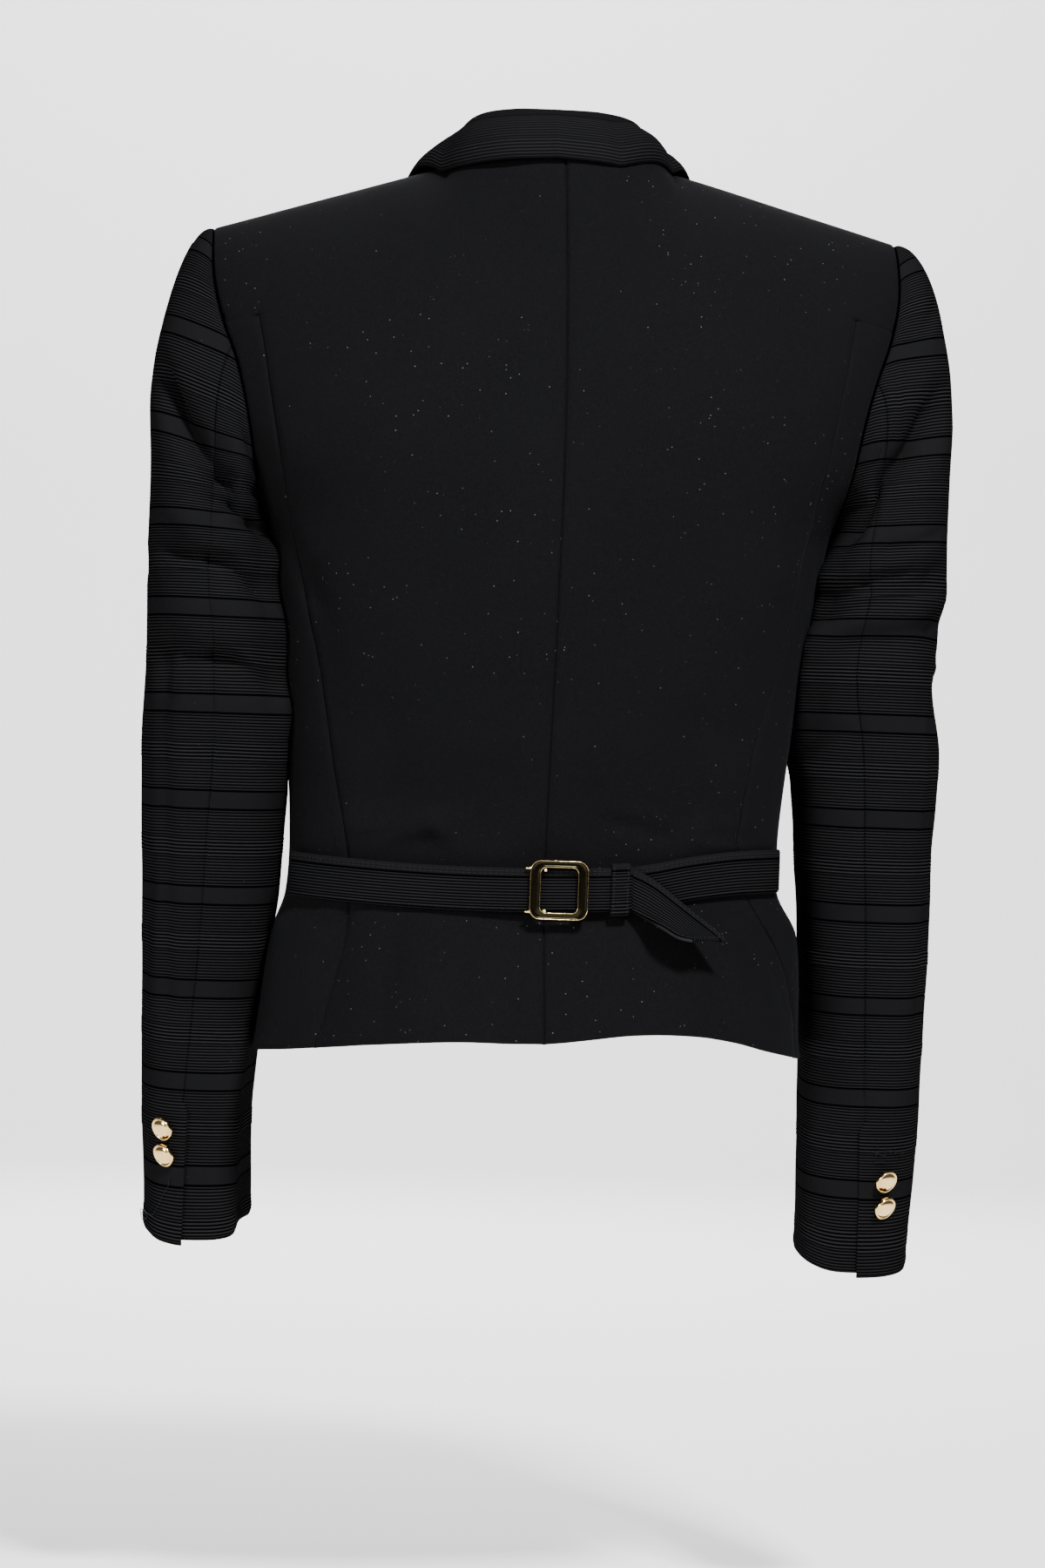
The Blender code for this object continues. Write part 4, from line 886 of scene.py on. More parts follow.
def body_grids(side):
    """Grids of back and front with their normals, which agree along the seams."""
    v, corner_row = body_v(side)
    stretches = (NECK_HALF, BACK_STRETCH - NECK_HALF, SIDE_STRETCH)
    u = [k + spaced([0, length], BODY_STEP) for k, length in enumerate(stretches)]
    u = np.unique(np.round(np.concatenate(u), 7))
    w = spaced([0, FRONT_STRETCH], BODY_STEP)
    back = back_point(side, u[None, :], v[:, None])
    front = front_point(side, w[None, :], v[:, None])
    back_level, front_level = normals(back, AXIS), normals(front, AXIS)
    back_level[:, 0, 0] = 0.0
    low = v <= 0
    shared = back_level[low, -1] + front_level[low, 0]
    shared[:, 1] = 0.0
    back_level[low, -1] = front_level[low, 0] = shared
    back_level = shoulder_level(unit(back_level), back, side)
    front_level = shoulder_level(unit(front_level), front, side)
    return u, v[:, None], corner_row, (back, back_level), (front, front_level)


def dented(grid, level, v, creases, calm, waves, seed, seams):
    """A panel's grid with its creases, its unevenness and the dips at its seams."""
    across, height = grid[..., 0], grid[..., 2]
    dents = fold_depth(creases, across, height) + WANDER * wander(across, height, waves, seed)
    dents = dents * calm * smooth_step(1 - v, 0.0, SHOULDER_CALM) + seam_dip(seams)
    dents = dents + SHOULDER_DIP * bell(1 - v, SHOULDER_DIP_SHARE)
    return grid - level * dents[..., None]


def body_side(side, crepe):
    """Back, side-back panel and front of one half."""
    u, v, corner_row, (grid, level), (front, front_level) = body_grids(side)
    across, height = arc(grid, 1), grid[..., 2]
    seam = int(np.argmin(np.abs(u - 2)))
    to_seam = across - across[:, seam:seam + 1]
    side_seam = np.where(v <= v[corner_row], np.abs(to_seam), 1.0)
    panel_top = np.abs(height - height[corner_row, seam]) + 1.0 * (to_seam < -0.002)
    calm = smooth_step(np.abs(height - BELT_HEIGHT), *BELT_CALM)
    grid = dented(grid, level, v, BODY_CREASES[side], calm, WANDER_BACK, WANDER_SEED[side],
                  (across, side_seam, across[:, -1:] - across, panel_top))
    uv = body_uv(grid)
    keep = np.ones((len(v) - 1, len(u) - 1), bool)
    keep[:corner_row, seam:] = False
    cloth_piece("back_" + side, grid, level, CLOTH, uv, crepe, side, keep)
    cut = slice(0, corner_row + 1), slice(seam, None)
    cloth_piece("side_" + side, grid[cut], level[cut], CLOTH, uv[cut], crepe, side)
    calm = smooth_step(front[..., 0], *FRONT_CALM)
    front = dented(front, front_level, v, FRONT_CREASES[side], calm, WANDER_FRONT,
                   WANDER_SEED[side] + 1, (arc(front, 1),))
    cloth_piece("front_" + side, front, front_level, CLOTH, body_uv(front), crepe, side)


# ---------------------------------------------------------------- ribbed cloth

# One repeat of the ribbed cloth, measured from the middle of its heavy lines
RIB_REPEAT = 0.0554
HEAVY_LINES = (0.0, 0.0020, 0.0040)  # each side of the middle
HEAVY_WIDTH = 0.00055               # half width of a heavy line
HEAVY_HEIGHT = 0.00030
FINE_FROM, FINE_TO, FINE_PITCH = 0.0056, 0.0218, 0.00175
SLEEVE_RIB_START = -0.2940          # height of a heavy middle on the sleeves


def off_heavy(s):
    """Distance along the repeat from the middle of the nearest heavy lines."""
    return np.abs(np.mod(s / RIB_REPEAT + 0.5, 1) - 0.5) * RIB_REPEAT


def heavy_relief(s):
    """Raised heavy lines of the ribbed cloth at a place s along the repeat."""
    return sum(HEAVY_HEIGHT * bell(off_heavy(s) - line, HEAVY_WIDTH) for line in HEAVY_LINES)


# On the upper arm the ribs rise outwards and lie lower where the folds take up cloth
RIB_LINE = Curve(
    ("height", "left_tilt", "left_shift", "right_tilt", "right_shift"), (
        (-0.300, 0.00, 0.0000, 0.00, -0.0020),
        (-0.260, 0.02, 0.0000, 0.02, -0.0025),
        (-0.205, 0.10, 0.0058, 0.08, -0.0025),
        (-0.160, 0.36, 0.0140, 0.12, 0.0020),
        (-0.100, 0.32, 0.0078, 0.14, -0.0025),
        (0.000, 0.30, 0.0050, 0.14, -0.0025),
    ))


def rib_line(side, grid):
    """Height to add to a place's height along the sleeve, to count the ribs by."""
    height = grid[..., 2]
    return (RIB_LINE(side + "_shift", height)
            - RIB_LINE(side + "_tilt", height) * (grid[..., 0] - 0.200))


def rib_rows(low, high):
    """Places from low to high, close where the heavy lines are."""
    fine = np.arange(low, high, 0.00045)
    near = fine[off_heavy(fine) < HEAVY_LINES[-1] + 0.0015]
    coarse = np.arange(low, high, 0.0030)
    places = np.unique(np.round(np.concatenate([near, coarse, [low, high]]), 6))
    kept = [places[0]]
    for place in places[1:]:
        if place - kept[-1] > 0.00030:
            kept.append(place)
    kept[-1] = high
    return np.array(kept)


# Finer creases of the sleeves, in the columns of FOLD_COLUMNS
SLEEVE_CREASES = {
    "left": (
        (0.084, -0.1330, 0.256, -0.1915, 0.0055, 0.0080),
        (0.256, -0.1915, 0.433, -0.1990, 0.0042, 0.0068),
        (0.261, -0.2042, 0.391, -0.2149, 0.0040, 0.0061),
        (0.275, -0.2120, 0.470, -0.2130, 0.0030, -0.0045),
        (0.282, -0.2190, 0.483, -0.2177, 0.0028, 0.0039),
        (0.147, -0.2348, 0.256, -0.2384, 0.0045, 0.0045),
        (0.256, -0.2384, 0.357, -0.2538, 0.0042, 0.0045),
        (0.181, -0.2968, 0.252, -0.2968, 0.0050, 0.0043),
        (0.252, -0.2968, 0.357, -0.3106, 0.0050, 0.0043),
        (0.130, -0.2950, 0.164, -0.5010, 0.0070, 0.0027),
        (0.010, -0.2362, 0.150, -0.3185, 0.0040, 0.0023),
        (0.330, -0.1640, 0.400, -0.1850, 0.0045, 0.0031),
        (0.240, -0.3500, 0.360, -0.3620, 0.0060, 0.0016),
        (0.100, -0.4200, 0.060, -0.4900, 0.0070, 0.0016),
        (0.230, -0.5200, 0.330, -0.5400, 0.0070, 0.0013),
        (0.560, -0.3300, 0.700, -0.3500, 0.0060, 0.0046),
        (0.600, -0.3620, 0.760, -0.3560, 0.0060, 0.0046),
        (0.560, -0.3950, 0.720, -0.3850, 0.0060, 0.0036),
        (0.640, -0.2200, 0.820, -0.1750, 0.0060, 0.0042),
        (0.620, -0.2500, 0.780, -0.2350, 0.0060, 0.0031),
        (0.680, -0.1750, 0.860, -0.1350, 0.0070, 0.0031),
    ),
    "right": (
        (0.076, -0.0733, 0.181, -0.0957, 0.0040, 0.0031),
        (0.168, -0.1341, 0.223, -0.1608, 0.0050, 0.0050),
        (0.223, -0.1608, 0.315, -0.1873, 0.0044, 0.0048),
        (0.315, -0.1873, 0.400, -0.1926, 0.0036, 0.0036),
        (0.353, -0.1703, 0.307, -0.1633, 0.0040, 0.0039),
        (0.150, -0.2080, 0.260, -0.2180, 0.0050, 0.0026),
        (0.231, -0.2312, 0.303, -0.2369, 0.0034, 0.0036),
        (0.303, -0.2369, 0.496, -0.2449, 0.0034, 0.0042),
        (0.250, -0.2440, 0.440, -0.2540, 0.0032, -0.0039),
        (0.020, -0.2670, 0.060, -0.2850, 0.0045, -0.0012),
        (0.060, -0.2850, 0.139, -0.3182, 0.0040, -0.0014),
        (0.139, -0.3182, 0.150, -0.3800, 0.0035, -0.0021),
        (0.300, -0.3300, 0.420, -0.3420, 0.0060, 0.0018),
        (0.090, -0.4300, 0.120, -0.5100, 0.0080, 0.0018),
        (0.240, -0.5400, 0.350, -0.5600, 0.0070, 0.0013),
        (0.570, -0.3250, 0.710, -0.3450, 0.0060, 0.0046),
        (0.600, -0.3580, 0.750, -0.3540, 0.0060, 0.0042),
        (0.570, -0.4000, 0.730, -0.3880, 0.0060, 0.0036),
        (0.640, -0.2150, 0.800, -0.1700, 0.0060, 0.0042),
        (0.620, -0.2480, 0.770, -0.2300, 0.0060, 0.0031),
        (0.690, -0.1700, 0.860, -0.1300, 0.0070, 0.0031),
    ),
}
MAIN_FOLDS_MORE = 1.25    # the solid's main folds are made deeper by this share
SLEEVE_WANDER, SLEEVE_WAVES = 0.0007, 0.06    # slow unevenness, length of its waves
SLEEVE_SEED = {"left": 21, "right": 34}
SLEEVE_ACROSS = 0.29      # metres of cloth to one turn of the sleeve, for its folds
LIMB = 0.460              # turn of the sleeve's edge beside the body, left free of dents
TOP_STRETCH, UNDER_STRETCH = 0.150, 0.095
SLEEVE_STEP = 0.0038
CAP_ROWS = 330
PRESS_REACH, PRESS_END = 0.014, -0.36    # cloth this near the flank leans on it, to here,
PRESS_IN, BUNCH_IN = 0.0004, 0.0006      # and may come this much closer than the rest
BUNCH_TURN = 0.06         # reach of the bunched cloth round the sleeve
# Cloth bunched against the flank: height, half reach, how far it comes forward
BUNCH = {"left": (-0.2105, 0.022, 0.0045), "right": (-0.2150, 0.030, 0.0025)}
# How far the cuff's edge hangs below its even height, by turn of the sleeve
CUFF_DROP = Curve(
    ("turn", "left", "right"), (
        (0.00, 0.0035, 0.0060),
        (0.14, 0.0045, 0.0065),
        (0.24, 0.0050, 0.0050),
        (0.30, 0.0040, 0.0050),
        (0.46, -0.0030, 0.0010),
        (0.62, 0.0000, 0.0010),
        (1.00, 0.0035, 0.0060),
    ))
VENT_TIP = {"left": 0.0030, "right": 0.0025}    # the flap's corner hangs lower still
DROP_REACH = 0.050        # height over which the drop fades out
VENT_TOP = -0.556         # the cuff's vent opens below this height
VENT_LIFT = 0.0030        # the vent's upper flap lies over the lower one
VENT_LAP = 0.0035         # and reaches this far past the seam
RIBS_RAISED = (0.235, 0.260)      # the heavy ribs start to stand up this far down
CUFF_FOLD, CUFF_SWELL = (0.0007, 0.0012), (0.0004, 0.003)    # depths, widths at its edge
CUFF_SWELL_AT = 0.006


def sleeve_grid(side):
    """Grid round the sleeve from its back seam, normals, turns, heights along the cloth,
    lengths from the armhole and the column of the front seam."""
    cap = (np.linspace(0, 1, CAP_ROWS) ** 1.05)[:-1]
    low, high = CUFF[side] + 0.0008 - SLEEVE_RIB_START, ARM_TOP - SLEEVE_RIB_START
    heights = np.append(rib_rows(low, high)[::-1] + SLEEVE_RIB_START, CUFF[side])
    along = np.concatenate([cap, 1 + (heights - ARM_TOP) / (CUFF[side] - ARM_TOP)])[:, None]
    back, front = seam_turn("back_" + side, along), seam_turn("front", along)
    top = back + (front - 1 - back) * spaced([0, TOP_STRETCH], SLEEVE_STEP)[None, :]
    under = front + (back - front) * spaced([0, UNDER_STRETCH], SLEEVE_STEP)[None, :]
    turn = np.concatenate([top, under[:, 1:] - 1], axis=1)
    grid = sleeve_point(side, turn, np.broadcast_to(along, turn.shape))
    around = np.concatenate([grid[:, -2:-1], grid, grid[:, 1:2]], axis=1)
    facing = normals(around, np.array([0.197, 0.0, -0.40]))[:, 1:-1]
    facing[:, 0] = facing[:, -1] = unit(facing[:, 0] + facing[:, -1])
    head = arc(grid, 0)
    level = np.where(along > 1, ARM_TOP + (CUFF[side] - ARM_TOP) * (along - 1),
                     ARM_TOP + head[len(cap)] - head)
    return grid, facing, turn, level, head, top.shape[1] - 1


def sleeve_dents(side, grid, turn, head, cut):
    """Folds, creases and seams of the sleeve, calm where it touches the body."""
    height, around = grid[..., 2], np.mod(turn, 1)
    main = fold_depth(SLEEVE_FOLDS[side], around, height, SLEEVE_ACROSS)
    fine = fold_depth(SLEEVE_CREASES[side], around, height, SLEEVE_ACROSS)
    fine = fine + SLEEVE_WANDER * wander(turn * SLEEVE_ACROSS, height, SLEEVE_WAVES,
                                         SLEEVE_SEED[side])
    fine = (fine + MAIN_FOLDS_MORE * main) * smooth_step(head, 0.001, 0.012)
    beside = grid[..., 0] - flank(side, grid[..., 1], height)
    clear = np.maximum(smooth_step(beside, 0.002, 0.009),
                       smooth_step(height, ARMPIT, ARMPIT + 0.02))
    clear = clear * smooth_step(np.abs(around - LIMB), 0.010, 0.060)
    across = arc(grid, 1)
    seams = (across, np.abs(across - across[:, cut:cut + 1]), across[:, -1:] - across, head)
    return (main + fine) * clear + seam_dip(seams, SLEEVE_SEAM_DEPTH)


def lean_on_flank(side, grid, around):
    """Move the cloth near the body's flank onto it, and bunch it under the armpit."""
    beside = grid[..., 0] - flank(side, grid[..., 1], grid[..., 2])
    near = np.clip((beside - FLANK_GAP) / PRESS_REACH, 0, 1)
    press = beside - (FLANK_GAP - PRESS_IN + (PRESS_REACH + PRESS_IN) * near ** 3)
    press = np.where((beside > FLANK_GAP) & (near < 1), press, 0.0)
    press = press * smooth_step(ARMPIT - grid[..., 2], 0.0, 0.03)
    grid[..., 0] -= press * smooth_step(grid[..., 2], PRESS_END, PRESS_END + 0.04)
    at, reach, bulge = BUNCH[side]
    bunch = bulge * bell(grid[..., 2] - at, reach) * bell(around - LIMB, BUNCH_TURN)
    body = flank(side, grid[..., 1], grid[..., 2]) + FLANK_GAP - BUNCH_IN
    grid[..., 0] -= np.minimum(bunch, np.maximum(grid[..., 0] - body, 0.0))


def sleeve(side, ribbed):
    """Top and under sleeve of one side; gives the finished grid and its normals."""
    grid, facing, turn, level, head, cut = sleeve_grid(side)
    around, across, hem = np.mod(turn, 1), arc(grid, 1), level - CUFF[side]
    ribs = level - SLEEVE_RIB_START + rib_line(side, grid)
    dents = sleeve_dents(side, grid, turn, head, cut)
    dents = dents - heavy_relief(ribs) * smooth_step(-grid[..., 2], *RIBS_RAISED)
    dents = dents + CUFF_FOLD[0] * bell(hem, CUFF_FOLD[1])
    dents = dents - CUFF_SWELL[0] * bell(hem - CUFF_SWELL_AT, CUFF_SWELL[1])
    vent = smooth_step(VENT_TOP - level, 0.0, 0.004)
    dents = dents - VENT_LIFT * vent * (1 - smooth_step(across, 0.006, 0.030))
    lap = VENT_LAP * vent * (1 - smooth_step(across, 0.0, 0.012))
    past = unit(grid[:, :1] - grid[:, 1:2])
    grid = grid - facing * dents[..., None] + past * lap[..., None]
    lean_on_flank(side, grid, around)
    drop = CUFF_DROP(side, around) + VENT_TIP[side] * (1 - smooth_step(across, 0, 0.024))
    grid[..., 2] -= drop * smooth_step(DROP_REACH - hem, 0, DROP_REACH)
    uv = np.stack([across, ribs], -1)
    for part, columns in (("top", slice(0, cut + 1)), ("under", slice(cut, None))):
        cloth_piece("sleeve_%s_%s" % (part, side), grid[:, columns], facing[:, columns], CLOTH,
                    uv[:, columns], ribbed, side)
    return grid, facing


def refined(points, count):
    """Smooth rows between a few rows of points, count to each gap."""
    rows = len(points)
    at = np.linspace(0, rows - 1, (rows - 1) * count + 1)
    i = np.clip(np.floor(at).astype(int), 0, rows - 2)
    slopes = np.gradient(points, axis=0)
    return blend((at - i)[:, None, None], points[i], points[i + 1], slopes[i], slopes[i + 1])


COLLAR_ROWS = 64
COLLAR_LENGTH = 0.20      # from centre back to gorge, for spacing and creases
COLLAR_RIB = 0.0068       # heavy lines this far in from the collar's edge
COLLAR_RELIEF = 0.8       # share of the sleeves' relief
EDGE_DIP, EDGE_WIDTH = 0.0004, 0.0010
FALL_WIDTH, FALL_ROUND = 0.034, 0.006    # the part that shows, from its edge to the roll
# Creases of the collar: share round each half, half width, depth
COLLAR_CREASES = ((-0.17, 0.0016, 0.0006), (0.36, 0.0050, 0.0005), (-0.44, 0.0055, 0.0004))


def edge_dents(inward, share=1.0):
    """Thinner edge and raised heavy lines of collar and lapels."""
    return (EDGE_DIP * bell(inward, EDGE_WIDTH)
            - COLLAR_RELIEF * heavy_relief(inward - COLLAR_RIB) * share)


def collar_cloth(ribbed):
    """Collar from end to end, its columns refined over the roll."""
    along = spaced([0, COLLAR_LENGTH], COLLAR_LENGTH / COLLAR_ROWS)
    half = collar_half("left", along)
    other = handed("right", collar_half("right", along)[:0:-1])
    place = np.concatenate([-along[:0:-1], along])[:, None]
    grid = refined(np.swapaxes(np.concatenate([other, half]), 0, 1), 5)
    grid = np.swapaxes(grid, 0, 1)
    middle = grid[len(other)]
    facing = normals(grid, (middle[0] + middle[-1]) / 2)
    inward = arc(grid, 1, from_end=True)
    fall = smooth_step(FALL_WIDTH - inward, 0.0, FALL_ROUND)
    dents = 0.0003 * wander(place * COLLAR_LENGTH + 0 * inward, inward, 0.05, 5)
    for at, half_width, depth in COLLAR_CREASES:
        dents = dents + depth * bell((place - at) * COLLAR_LENGTH, half_width)
    grid = grid - facing * (dents * fall + edge_dents(inward, fall))[..., None]
    uv = np.stack([arc(grid, 0), inward - COLLAR_RIB], -1)
    cloth_piece("collar", grid, facing, COLLAR_CLOTH, uv, ribbed)


def lapel_cloth(side, ribbed):
    """Lapel of one side, from the break to the gorge and the roll to its edge."""
    r = spaced([0, 0.26], 0.0034)[:, None]
    c = spaced([0, 0.07], 0.0022)[None, :]
    grid = lapel_grid(side, r + 0 * c, c + 0 * r)
    facing = normals(grid, AXIS)
    inward = arc(grid, 1, from_end=True)
    dents = 0.0004 * wander(inward, grid[..., 2], 0.06, 11) + edge_dents(inward)
    grid = grid - facing * dents[..., None]
    uv = np.stack([grid[..., 2], inward - COLLAR_RIB], -1)
    cloth_piece("lapel_" + side, grid, facing, LAPEL_CLOTH, uv, ribbed, side)


# ---------------------------------------------------------------- half belt

BELT_RIB = 0.0277         # the belt's upper edge lies on the middle of a plain band
BELT_STEPS = 18           # of its grid, across
STITCH, STITCH_GAP, THREAD = 0.0024, 0.0008, 0.00022
# One stitch: share of its length, share of the thread's radius, rise in radii
STITCH_PROFILE = ((0.0, 0.35, -0.9), (0.12, 0.9, 0.1), (0.5, 1.1, 0.6), (0.88, 0.9, 0.1),
                  (1.0, 0.35, -0.9))
STITCH_SIDES, STITCH_FLAT = 6, 1.3
STITCH_ROW, STITCH_SECOND = 0.0020, 0.0036    # in from both edges, and from the upper one
UNDER_COLUMNS, OVER_COLUMNS, LAST_COLUMNS, TIP_PLACES = 110, 80, 50, 40
BELT_RISES = (0.000, 0.050)      # distances across between which one strap climbs the other
BUCKLE_PAST, CLIMB_AT, TIP_AT = 0.004, 0.020, -0.049    # distances across
TIP_STITCH, TIP_COLUMNS = 0.0022, 12
KEEPER_CLOTH = 0.0016
KEEPER_RISE = 0.0024      # the loop reaches this far past the belt's edges
KEEPER_STITCH = 0.0014
KEEPER_COLUMNS, KEEPER_ROWS, KEEPER_SHOWN = 13, 49, slice(8, 41)
KEEPER_LIFT = 0.0021
# The keeper's section: share of its half height, depth from its outer face
KEEPER_PROFILE = np.array(((-1.00, -0.0058), (-1.00, -0.0009), (-0.93, 0.0), (0.0, 0.0002),
                           (0.93, 0.0), (1.00, -0.0009), (1.00, -0.0058)))


def belt_uv(grid, below=0.0):
    """Ribs run along the belt, counted down from its upper edge."""
    return np.stack([arc(grid, 1), BELT_RIB - arc(grid, 0, from_end=True) + below], -1)


def strap(node, grid, facing, ribbed):
    """One strap with its pressed edges; gives the finished grid."""
    across = arc(grid, 0)
    edges = np.minimum(across, across[-1:] - across)
    dents = 0.00025 * wander(arc(grid, 1), across, 0.03, 17)
    dents = dents + 0.0004 * bell(edges, 0.0007) + 0.00025 * bell(edges - 0.0022, 0.0005)
    grid = grid - facing * dents[..., None]
    cloth_piece(node, grid, facing, BELT_CLOTH, belt_uv(grid), ribbed)
    return grid


def edge_stitches(grid, facing):
    """One row along the lower edge and two along the upper one."""
    return (stitch_line(grid, facing, STITCH_ROW, False)
            + stitch_line(grid, facing, STITCH_ROW, True)
            + stitch_line(grid, facing, STITCH_SECOND, True))


def belt_cloth(ribbed, thread):
    """The strap under the buckle, then the one that goes through it and ends in the tip."""
    angles = np.linspace(-BELT_END, belt_angle(BUCKLE_AT - BUCKLE_PAST), UNDER_COLUMNS)
    grid, out = belt_grid(angles, sewn_down(angles) + UNDER_LIFT, BELT_STEPS)
    out = out[None] + 0 * grid
    grid = strap("belt_strap_right", grid, out, ribbed)
    sewn = edge_stitches(grid, out)
    side = np.linspace(BELT_END, belt_angle(CLIMB_AT), OVER_COLUMNS)
    rest = np.linspace(belt_angle(CLIMB_AT), belt_angle(TIP_AT), LAST_COLUMNS)[1:]
    angles = np.concatenate([side, rest])
    x = BODY("half_width", WAIST) * np.sin(angles)
    lift = UNDER_LIFT + (OVER_LIFT - UNDER_LIFT) * (1 - smooth_step(x, *BELT_RISES))
    grid, _ = belt_grid(angles, lift + sewn_down(angles), BELT_STEPS)
    along = np.linspace(0, 1, TIP_PLACES)[1:]
    middle = np.stack([TIP("x", along), TIP("out", along), TIP("z", along)], -1)
    middle[:, 1] += grid[BELT_STEPS // 2, -1, 1] - 0.0006 * along
    share = np.linspace(-0.5, 0.5, BELT_STEPS + 1)[:, None, None]
    tip = middle[None] + share * BELT_WIDTH * unit(TIP.xyz(along, "cross_"))[None]
    grid = np.concatenate([grid, tip], axis=1)
    facing = normals(grid, AXIS)
    grid = strap("belt_strap_left", grid, facing, ribbed)
    end = [np.swapaxes(field, 0, 1)[-TIP_COLUMNS:] for field in (grid, facing)]
    sewn += edge_stitches(grid, facing) + stitch_line(*end, TIP_STITCH, True)
    stitches("belt_stitching", sewn, thread)


def keeper_cloth(ribbed, thread):
    """Loop round the belt past the buckle."""
    half = KEEPER_WIDTH / 2
    places = np.linspace(-half, half, KEEPER_COLUMNS)
    angles = np.array([belt_angle(KEEPER_AT + place) for place in places])
    front, out = belt_grid(angles, OVER_LIFT + KEEPER_LIFT, steps=2)
    corners = range(len(KEEPER_PROFILE))
    rows = np.linspace(0, corners[-1], KEEPER_ROWS)
    share, depth = (np.interp(rows, corners, column) for column in KEEPER_PROFILE.T)
    up = np.array([0, 0, BELT_WIDTH / 2 + KEEPER_RISE])
    grid = np.stack([front[1] + out * d + s * up for s, d in zip(share, depth)])
    facing = normals(grid, front[1][6] - out[6] * 0.004)
    cloth_piece("belt_keeper", grid, facing, KEEPER_CLOTH, belt_uv(grid, 0.004), ribbed)
    shown = [np.swapaxes(field, 0, 1)[:, KEEPER_SHOWN] for field in (grid, facing)]
    stitches("keeper_stitching", stitch_line(*shown, KEEPER_STITCH, False)
             + stitch_line(*shown, KEEPER_STITCH, True), thread)


def stitch_line(grid, facing, inset, upper):
    """Stitches along a grid's columns, inset from its first row or its last."""
    across = arc(grid, 0)
    if upper:
        across = across[-1:] - across
    line, up = [], []
    for k in range(grid.shape[1]):
        order = np.argsort(across[:, k])
        line.append([np.interp(inset, across[order, k], grid[order, k, i]) for i in range(3)])
        up.append([np.interp(inset, across[order, k], facing[order, k, i]) for i in range(3)])
    return stitch_places(np.array(line), np.array(up))


def stitch_places(line, up):
    """(start, end, up) of each stitch along a line."""
    length = np.concatenate([[0], np.cumsum(np.linalg.norm(np.diff(line, axis=0), axis=1))])
    starts = np.arange(STITCH_GAP, length[-1] - STITCH - STITCH_GAP, STITCH + STITCH_GAP)

    def read(at, field):
        return np.stack([np.interp(at, length, field[:, i]) for i in range(3)], -1)

    return list(zip(read(starts, line), read(starts + STITCH, line), read(starts, up)))


def turns_round(sides):
    """Cosines and sines of even steps round a circle, as columns."""
    angle = 2 * math.pi * np.arange(sides)[:, None] / sides
    return np.cos(angle), np.sin(angle)


def stitches(name, places, thread):
    """Short raised threads, thicker in the middle, joined into one piece."""
    cosine, sine = turns_round(STITCH_SIDES)
    one = ring_faces(len(STITCH_PROFILE), STITCH_SIDES)
    points = []
    for start, end, up in places:
        run = unit(end - start)
        aside = unit(np.cross(run, up))
        up = np.cross(aside, run)
        for share, size, rise in STITCH_PROFILE:
            centre = start + (end - start) * share + up * rise * THREAD
            points.append(centre + THREAD * size * (cosine * aside * STITCH_FLAT + sine * up))
    step = len(STITCH_PROFILE) * STITCH_SIDES
    faces = np.concatenate([one + k * step for k in range(len(places))])
    dressed(mesh_object(name, np.concatenate(points), faces, thread))


# ---------------------------------------------------------------- metal and threads

ROUND_SIDES = 48


def lathe(name, centre, axis, profile, radius, looks, node=None, sides=ROUND_SIDES):
    """Round metal piece from a profile of (share of the radius, rise) about an axis."""
    axis = unit(np.asarray(axis, float))
    first = unit(np.cross(axis, (0.0, 0.0, 1.0)))
    cosine, sine = turns_round(sides)
    spokes = first * cosine + np.cross(axis, first) * sine
    points = [centre + radius * (share * spokes + rise * axis) for share, rise in profile]
    faces = ring_faces(len(profile), sides)
    dressed(mesh_object(name, np.concatenate(points), faces, looks), node)


def tube(name, path, radius, looks, sides=8, closed=False, taper=0.0):
    """Round bar or thread along a path of points."""
    path = np.asarray(path, float)
    if closed:
        runs = unit(np.roll(path, -1, 0) - np.roll(path, 1, 0))
    else:
        runs = unit(np.gradient(path, axis=0))
    aside = np.cross(runs[0], (0.31, 0.52, 0.79))
    cosine, sine = turns_round(sides)
    points = []
    count = len(path)
    for k in range(count):
        aside = unit(aside - runs[k] * np.dot(aside, runs[k]))
        end = min(k, count - 1 - k) / max(count - 1, 1)
        size = radius if closed else radius * (1 - taper * math.exp(-end * 40))
        points.append(path[k] + size * (cosine * aside + sine * np.cross(runs[k], aside)))
    faces = ring_faces(count, sides, closed)
    dressed(mesh_object(name, np.concatenate(points), faces, looks))


# Button profile: share of the radius, rise in radii; a rim round a dome
BUTTON = ((0.0, 0.0), (0.90, 0.0), (0.97, 0.04), (1.0, 0.12), (1.0, 0.26), (0.985, 0.33),
          (0.95, 0.375), (0.91, 0.385), (0.875, 0.365), (0.855, 0.335), (0.845, 0.330),
          (0.80, 0.385), (0.72, 0.455), (0.60, 0.525), (0.45, 0.585), (0.28, 0.622),
          (0.12, 0.638), (0.0, 0.640))
BUTTON_LEAN = (0.48, 0.54)    # the cuff buttons droop outwards and down on their shanks
BUTTON_SHANK = 0.0024         # and stand this much further off the cloth for it


